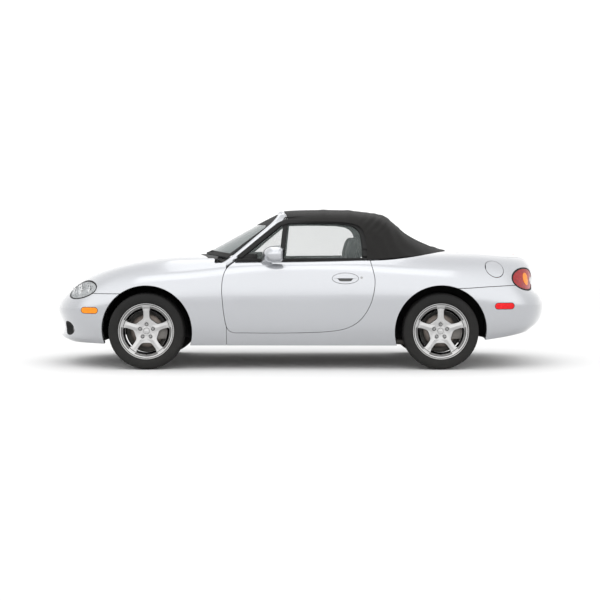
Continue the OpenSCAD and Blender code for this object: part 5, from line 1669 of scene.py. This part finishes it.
for name, x, z, look in (("FrontMarker", 1.632, 0.452, amberLens), ("RearMarker", -1.576, 0.489, markerRed)):
    ends = (1.5, 5) if x > 0 else (10.5, 13.5)
    shape = pill(x, z, 0.132 if x > 0 else 0.150, 0.042)
    sidePair(name, ends, (0, 8), [shape], look, 0.004, lifted(0.0022))
    sidePair(name + "Edge", ends, (0, 8), [lambda p: shape(p) + 0.004, lambda p: 0.0005 - shape(p)], sealRubber,
             0.002, lifted(0.0008))

# door handles and locks


def handleCup(s, t):
    # a shallow dish, with its rim standing just proud of the door
    p, n = bodySurface(s, t)
    f = np.clip(handleOval(p) / 0.020, 0, 1)
    return p + n * (0.0022 - 0.0145 * (f * f * (3 - 2 * f)))[:, None], n


sidePair("HandleCup", (8, 10), (3, 8), [handleOval], paint, 0.002, handleCup, (36, 30), body="left_door")
sidePair("HandleEdge", (8, 10), (3, 8),
         [lambda p: handleOval(p, 0.0028), lambda p: 0.0028 - handleOval(p, 0.0028)],
         sealRubber, 0.0015, lifted(0.0008), (36, 30), body="left_door")
sidePair("HandlePull", (8, 10), (3, 8),
         [lambda p: np.minimum(handleOval(p, -0.006), p[:, 2] - handle["z"] - 0.002)],
         paint, 0.008, lifted(0.0035), (36, 30), body="left_door")
# painted shade: a dark sheet sunk into the cup below the pull stands for the shade in the handle's slot
sidePair("HandleSlot", (8, 10), (3, 8),
         [lambda p: np.minimum(
             handle["slot"][1] / 2 - np.abs(p[:, 2] - handle["z"] + 0.009),
             handle["slot"][0] / 2 - np.abs(p[:, 0] - handle["x"]) + 0.8 * (p[:, 2] - handle["z"]))],
         handleShade, 0.003, lifted(-0.0085), (50, 50), body="left_door")
sidePair("LockBarrel", (8, 10), (3, 8),
         [lambda p: 0.009 - np.hypot(p[:, 0] - handle["x"] + 0.124, p[:, 2] - handle["z"] - 0.006)],
         bareAlloy, 0.004, lifted(0.0010), (60, 60), body="left_door")

# front openings, fog lamps, radiator and wipers

x, y = 1.725, np.linspace(-0.345, 0.345, 90)
for k in range(9):
    z = 0.240 + k * 0.0145
    bar = np.stack([x + 0.05 * (1 - (y / 0.345) ** 2), y, np.full(90, z)], 1)
    finishPiece(sweep("mouthBar", bar, ovalOutline(0.003, 0.003, 6)), blackPlastic)
for k in range(28):
    side = -0.324 + k * 0.024
    depth = x + 0.05 * (1 - (side / 0.345) ** 2)
    finishPiece(tube("mouthBar", [[depth, side, 0.236], [depth, side, 0.360]], 0.0014, 0, 6), blackPlastic)


def mouthWall(name, test, rim, sink, tRange, sRange, both):
    # the wall of an opening in the bumper: its edge carried straight back
    def at(s, t):
        p, n = bodySurface(s, t)
        f = np.clip(test(p) / rim, 0, 1)
        return p - np.array([1.0, 0, 0]) * (sink * np.sqrt(f))[:, None] - n * 0.003, n
    if both:
        return bodyPanel(name, sRange, tRange, [lambda p: test(p) + 0.002], "both", "body", (), blackPlastic,
                         (30, 30), 0.002, at)
    return sidePair(name, sRange, tRange, [lambda p: test(p) + 0.002], blackPlastic, 0.002, at, (40, 40))


mouthWall("MouthFrame", lambda p: np.minimum(inMouth(p), 0.016), 0.016, 0.05, (0, 6), (0, 3), True)
mouthWall("FogCup", inFog, 0.012, 0.040, (0, 6), (0.5, 4), False)
for sign in (1, -1):
    dish = [[0.0, 0.036], [0.006, 0.038], [0.010, 0.036], [0.002, 0.028], [-0.006, 0.014], [-0.002, 0.0005]]
    finishPiece(turned("fogLamp", smoothPath(dish, 3), (1.786, sign * 0.470, 0.302), (1, sign * 0.25, 0), 36),
                reflector)

coreBox = boxShape("radiator", (1.622, -0.338, 0.242), (1.660, 0.338, 0.558), 0.006)
finishPiece(coreBox, bareAlloy, "body", ("radiator",))
for k in range(22):
    z = 0.254 + k * 0.0136
    finishPiece(boxShape("radiatorFin", (1.659, -0.328, z), (1.6618, 0.328, z + 0.004), 0), castIron)
for side, length in ((0.12, 0.40), (-0.32, 0.40)):
    base = np.array([0.748 - 0.06 * abs(side), side, 0.893])
    tip = np.array([0.585, side + length, 0.878])
    mid = (base + tip) / 2 + [0.028, 0, 0.020]
    arm = smoothPath([base, base * 0.6 + mid * 0.4 + [0, 0, 0.008], mid, tip * 0.8 + mid * 0.2], 6)
    finishPiece(sweep("wiperArm", arm, ovalOutline(0.014, 0.008, 12, 3), scale=np.linspace(1.2, 0.6, 19)),
                blackPlastic)
    a, b = mid * 0.85 + base * 0.15 + [0, -0.05, -0.012], tip + [0.0, 0.04, 0.002]
    finishPiece(sweep("wiperBlade", np.linspace(a, b, 12), ovalOutline(0.007, 0.014, 10, 3)), sealRubber)
    disc("wiperPivot", base - [0, 0, 0.022], (0.2, 0, 1), 0.017, 0.030, blackPlastic)

# wheel housings, under the car and behind the wheels


def bodyAt(xs, zs):
    # how far out the body's surface stands at places in side view, from a dense sampling of it
    s, t = np.meshgrid(np.linspace(0, 15, 421), np.linspace(0, 9, 181), indexing="ij")
    p, _ = bodySurface(s.ravel(), t.ravel())
    return np.array([p[np.argmin((p[:, 0] - x) ** 2 + (p[:, 2] - z) ** 2), 1] for x, z in zip(xs, zs)])


def arch(name, axleX, radius, inner, low):
    # a ribbed tunnel over a wheel, from its inner wall out to the body's edge
    angle = np.linspace(math.radians(-low), math.pi + math.radians(low), 61)
    edgeX, edgeZ = axleX + radius * np.cos(angle), hubZ + radius * np.sin(angle)
    outer = bodyAt(edgeX, np.maximum(edgeZ, 0.20)) - 0.010
    f = np.linspace(0, 1, 15)
    rise = 0.0055 * (1 - f ** 6)
    y = inner + (outer[:, None] - inner) * f
    r = radius - 0.0005 + rise - 0.0025 * (np.sin(y * 60) > 0.6)
    tunnel = np.stack([axleX + r * np.cos(angle)[:, None], y, hubZ + r * np.sin(angle)[:, None]], -1)
    wall = np.stack([axleX + (radius + 0.005) * np.cos(angle)[:, None] * np.array([0.55, 1.0]),
                     np.broadcast_to([inner, inner], (61, 2)),
                     hubZ + (radius + 0.005) * np.sin(angle)[:, None] * np.array([0.55, 1.0])], -1)
    piece = outward(sheetMesh(name, np.concatenate([wall, tunnel], 1)))
    addModifier(piece, "SOLIDIFY", thickness=0.003, offset=0)
    return bothSides(piece, material=sealRubber)


arch("leftFrontLiner", frontAxleX, panel["frontArch"], 0.446, 14)
arch("leftRearLiner", rearAxleX, panel["rearArch"], 0.525, 10)
for shownNode, material in (
        ("underbody", underPaint), ("front_suspension", castIron), ("rear_suspension", castIron),
        ("left_front_knuckle", castIron), ("right_front_knuckle", castIron), ("engine", bareAlloy),
        ("exhaust", pipeSteel)):
    shown = bpy.data.objects[shownNode].data.materials
    shown.clear()
    shown.append(material)
tip = turned("tailPipeTip", [[-0.10, 0.0275], [0.030, 0.0275], [0.033, 0.0255], [0.030, 0.0235], [-0.08, 0.023]],
             (-1.895, -0.299, 0.246), (-0.975, -0.195, -0.04), 48)
finishPiece(tip, chrome)
bodyPanel("highStopLamp", (10, 15), (6, 10),
          [lambda p: 0.013 - np.hypot(p[:, 0] + 1.760, np.maximum(np.abs(p[:, 1]) - 0.075, 0)),
           lambda p: p[:, 2] - 0.7],
          "both", "boot_lid", (), redLens, (40, 30), 0.003, lifted(0.0016))
bodyPanel("bootLock", (13, 15), (2, 10), [lambda p: 0.014 - np.hypot(p[:, 1], p[:, 2] - 0.700)],
          "both", "boot_lid", (), chrome, (60, 60), 0.004, lifted(0.0020))
aerial = tube("aerial", [[-1.300, -0.700, 0.850], [-1.300, -0.700, 0.875]], 0.007, 0, 14)
finishPiece(aerial, blackPlastic)
print("lamps, trim and running gear made")

# floor, light and camera

stage = {"floor": 60.0, "camera": (0.0, 10.9, 1.0), "aim": (0.0, 0.0, 0.5), "lens": 79.1, "overhead": 50,
         "cameraSide": 30}


def makeStage():
    # a wide pale floor and a white world
    span = np.linspace(-stage["floor"], stage["floor"], 9)
    floor = sheetMesh("floor", np.stack(np.meshgrid(span, span, [-0.0005], indexing="ij"), -1)[:, :, 0])
    floor.data.materials.append(grained("paleFloor", 0.71, 0.73, (0.9, 1.0), 60.0, 0.4, 0.02, 0.0005))
    world = bpy.data.worlds.new("studio")
    bpy.context.scene.world = world
    world.use_nodes = True
    tree = world.node_tree
    tree.nodes.clear()
    # even white behind the car; on the camera's side a bright sky over a darker ground
    way = node(tree, "ShaderNodeSeparateXYZ", {0: node(tree, "ShaderNodeTexCoord").outputs["Generated"]})
    height = maths(tree, "MULTIPLY_ADD", way.outputs["Z"], 0.5)
    behind = ramp(tree, height, [(0.0, 1.15), (0.55, 1.15), (0.75, 1.3), (1.0, 1.3)])
    front = ramp(tree, height, [(0.0, 0.7), (0.497, 0.7), (0.505, 1.9), (0.7, 1.8), (1.0, 1.3)])
    side = ramp(tree, maths(tree, "MULTIPLY_ADD", way.outputs["Y"], 0.5), [(0.5, 0.0), (0.7, 1.0)])
    shade = blendColour(tree, side, behind, front)
    background = node(tree, "ShaderNodeBackground", {"Color": shade, "Strength": 1.0})
    output = node(tree, "ShaderNodeOutputWorld")
    tree.links.new(background.outputs[0], output.inputs["Surface"])


def addLight(name, place, aim, size, power):
    light = bpy.data.lights.new(name, "AREA")
    light.shape, light.size, light.size_y, light.energy = "RECTANGLE", size[0], size[1], power
    piece = bpy.data.objects.new(name, light)
    bpy.context.scene.collection.objects.link(piece)
    piece.location = place
    piece.rotation_euler = lookAt(place, aim)


def lookAt(place, aim):
    return (Vector(aim) - Vector(place)).to_track_quat("-Z", "Y").to_euler()


makeStage()
addLight("overhead", (0.3, 0.0, 4.5), (0.0, 0.0, 0.0), (6.5, 3.0), stage["overhead"])
addLight("cameraSide", (0.5, 6.0, 4.6), (0.0, 0.0, 0.6), (7.0, 2.2), stage["cameraSide"])
camera = bpy.data.objects.new("camera", bpy.data.cameras.new("camera"))
bpy.context.scene.collection.objects.link(camera)
camera.location = stage["camera"]
camera.rotation_euler = lookAt(stage["camera"], stage["aim"])
camera.data.lens = stage["lens"]
camera.data.clip_end = 200
bpy.context.scene.camera = camera
bpy.context.scene.view_settings.view_transform = "Standard"
print("stage ready")
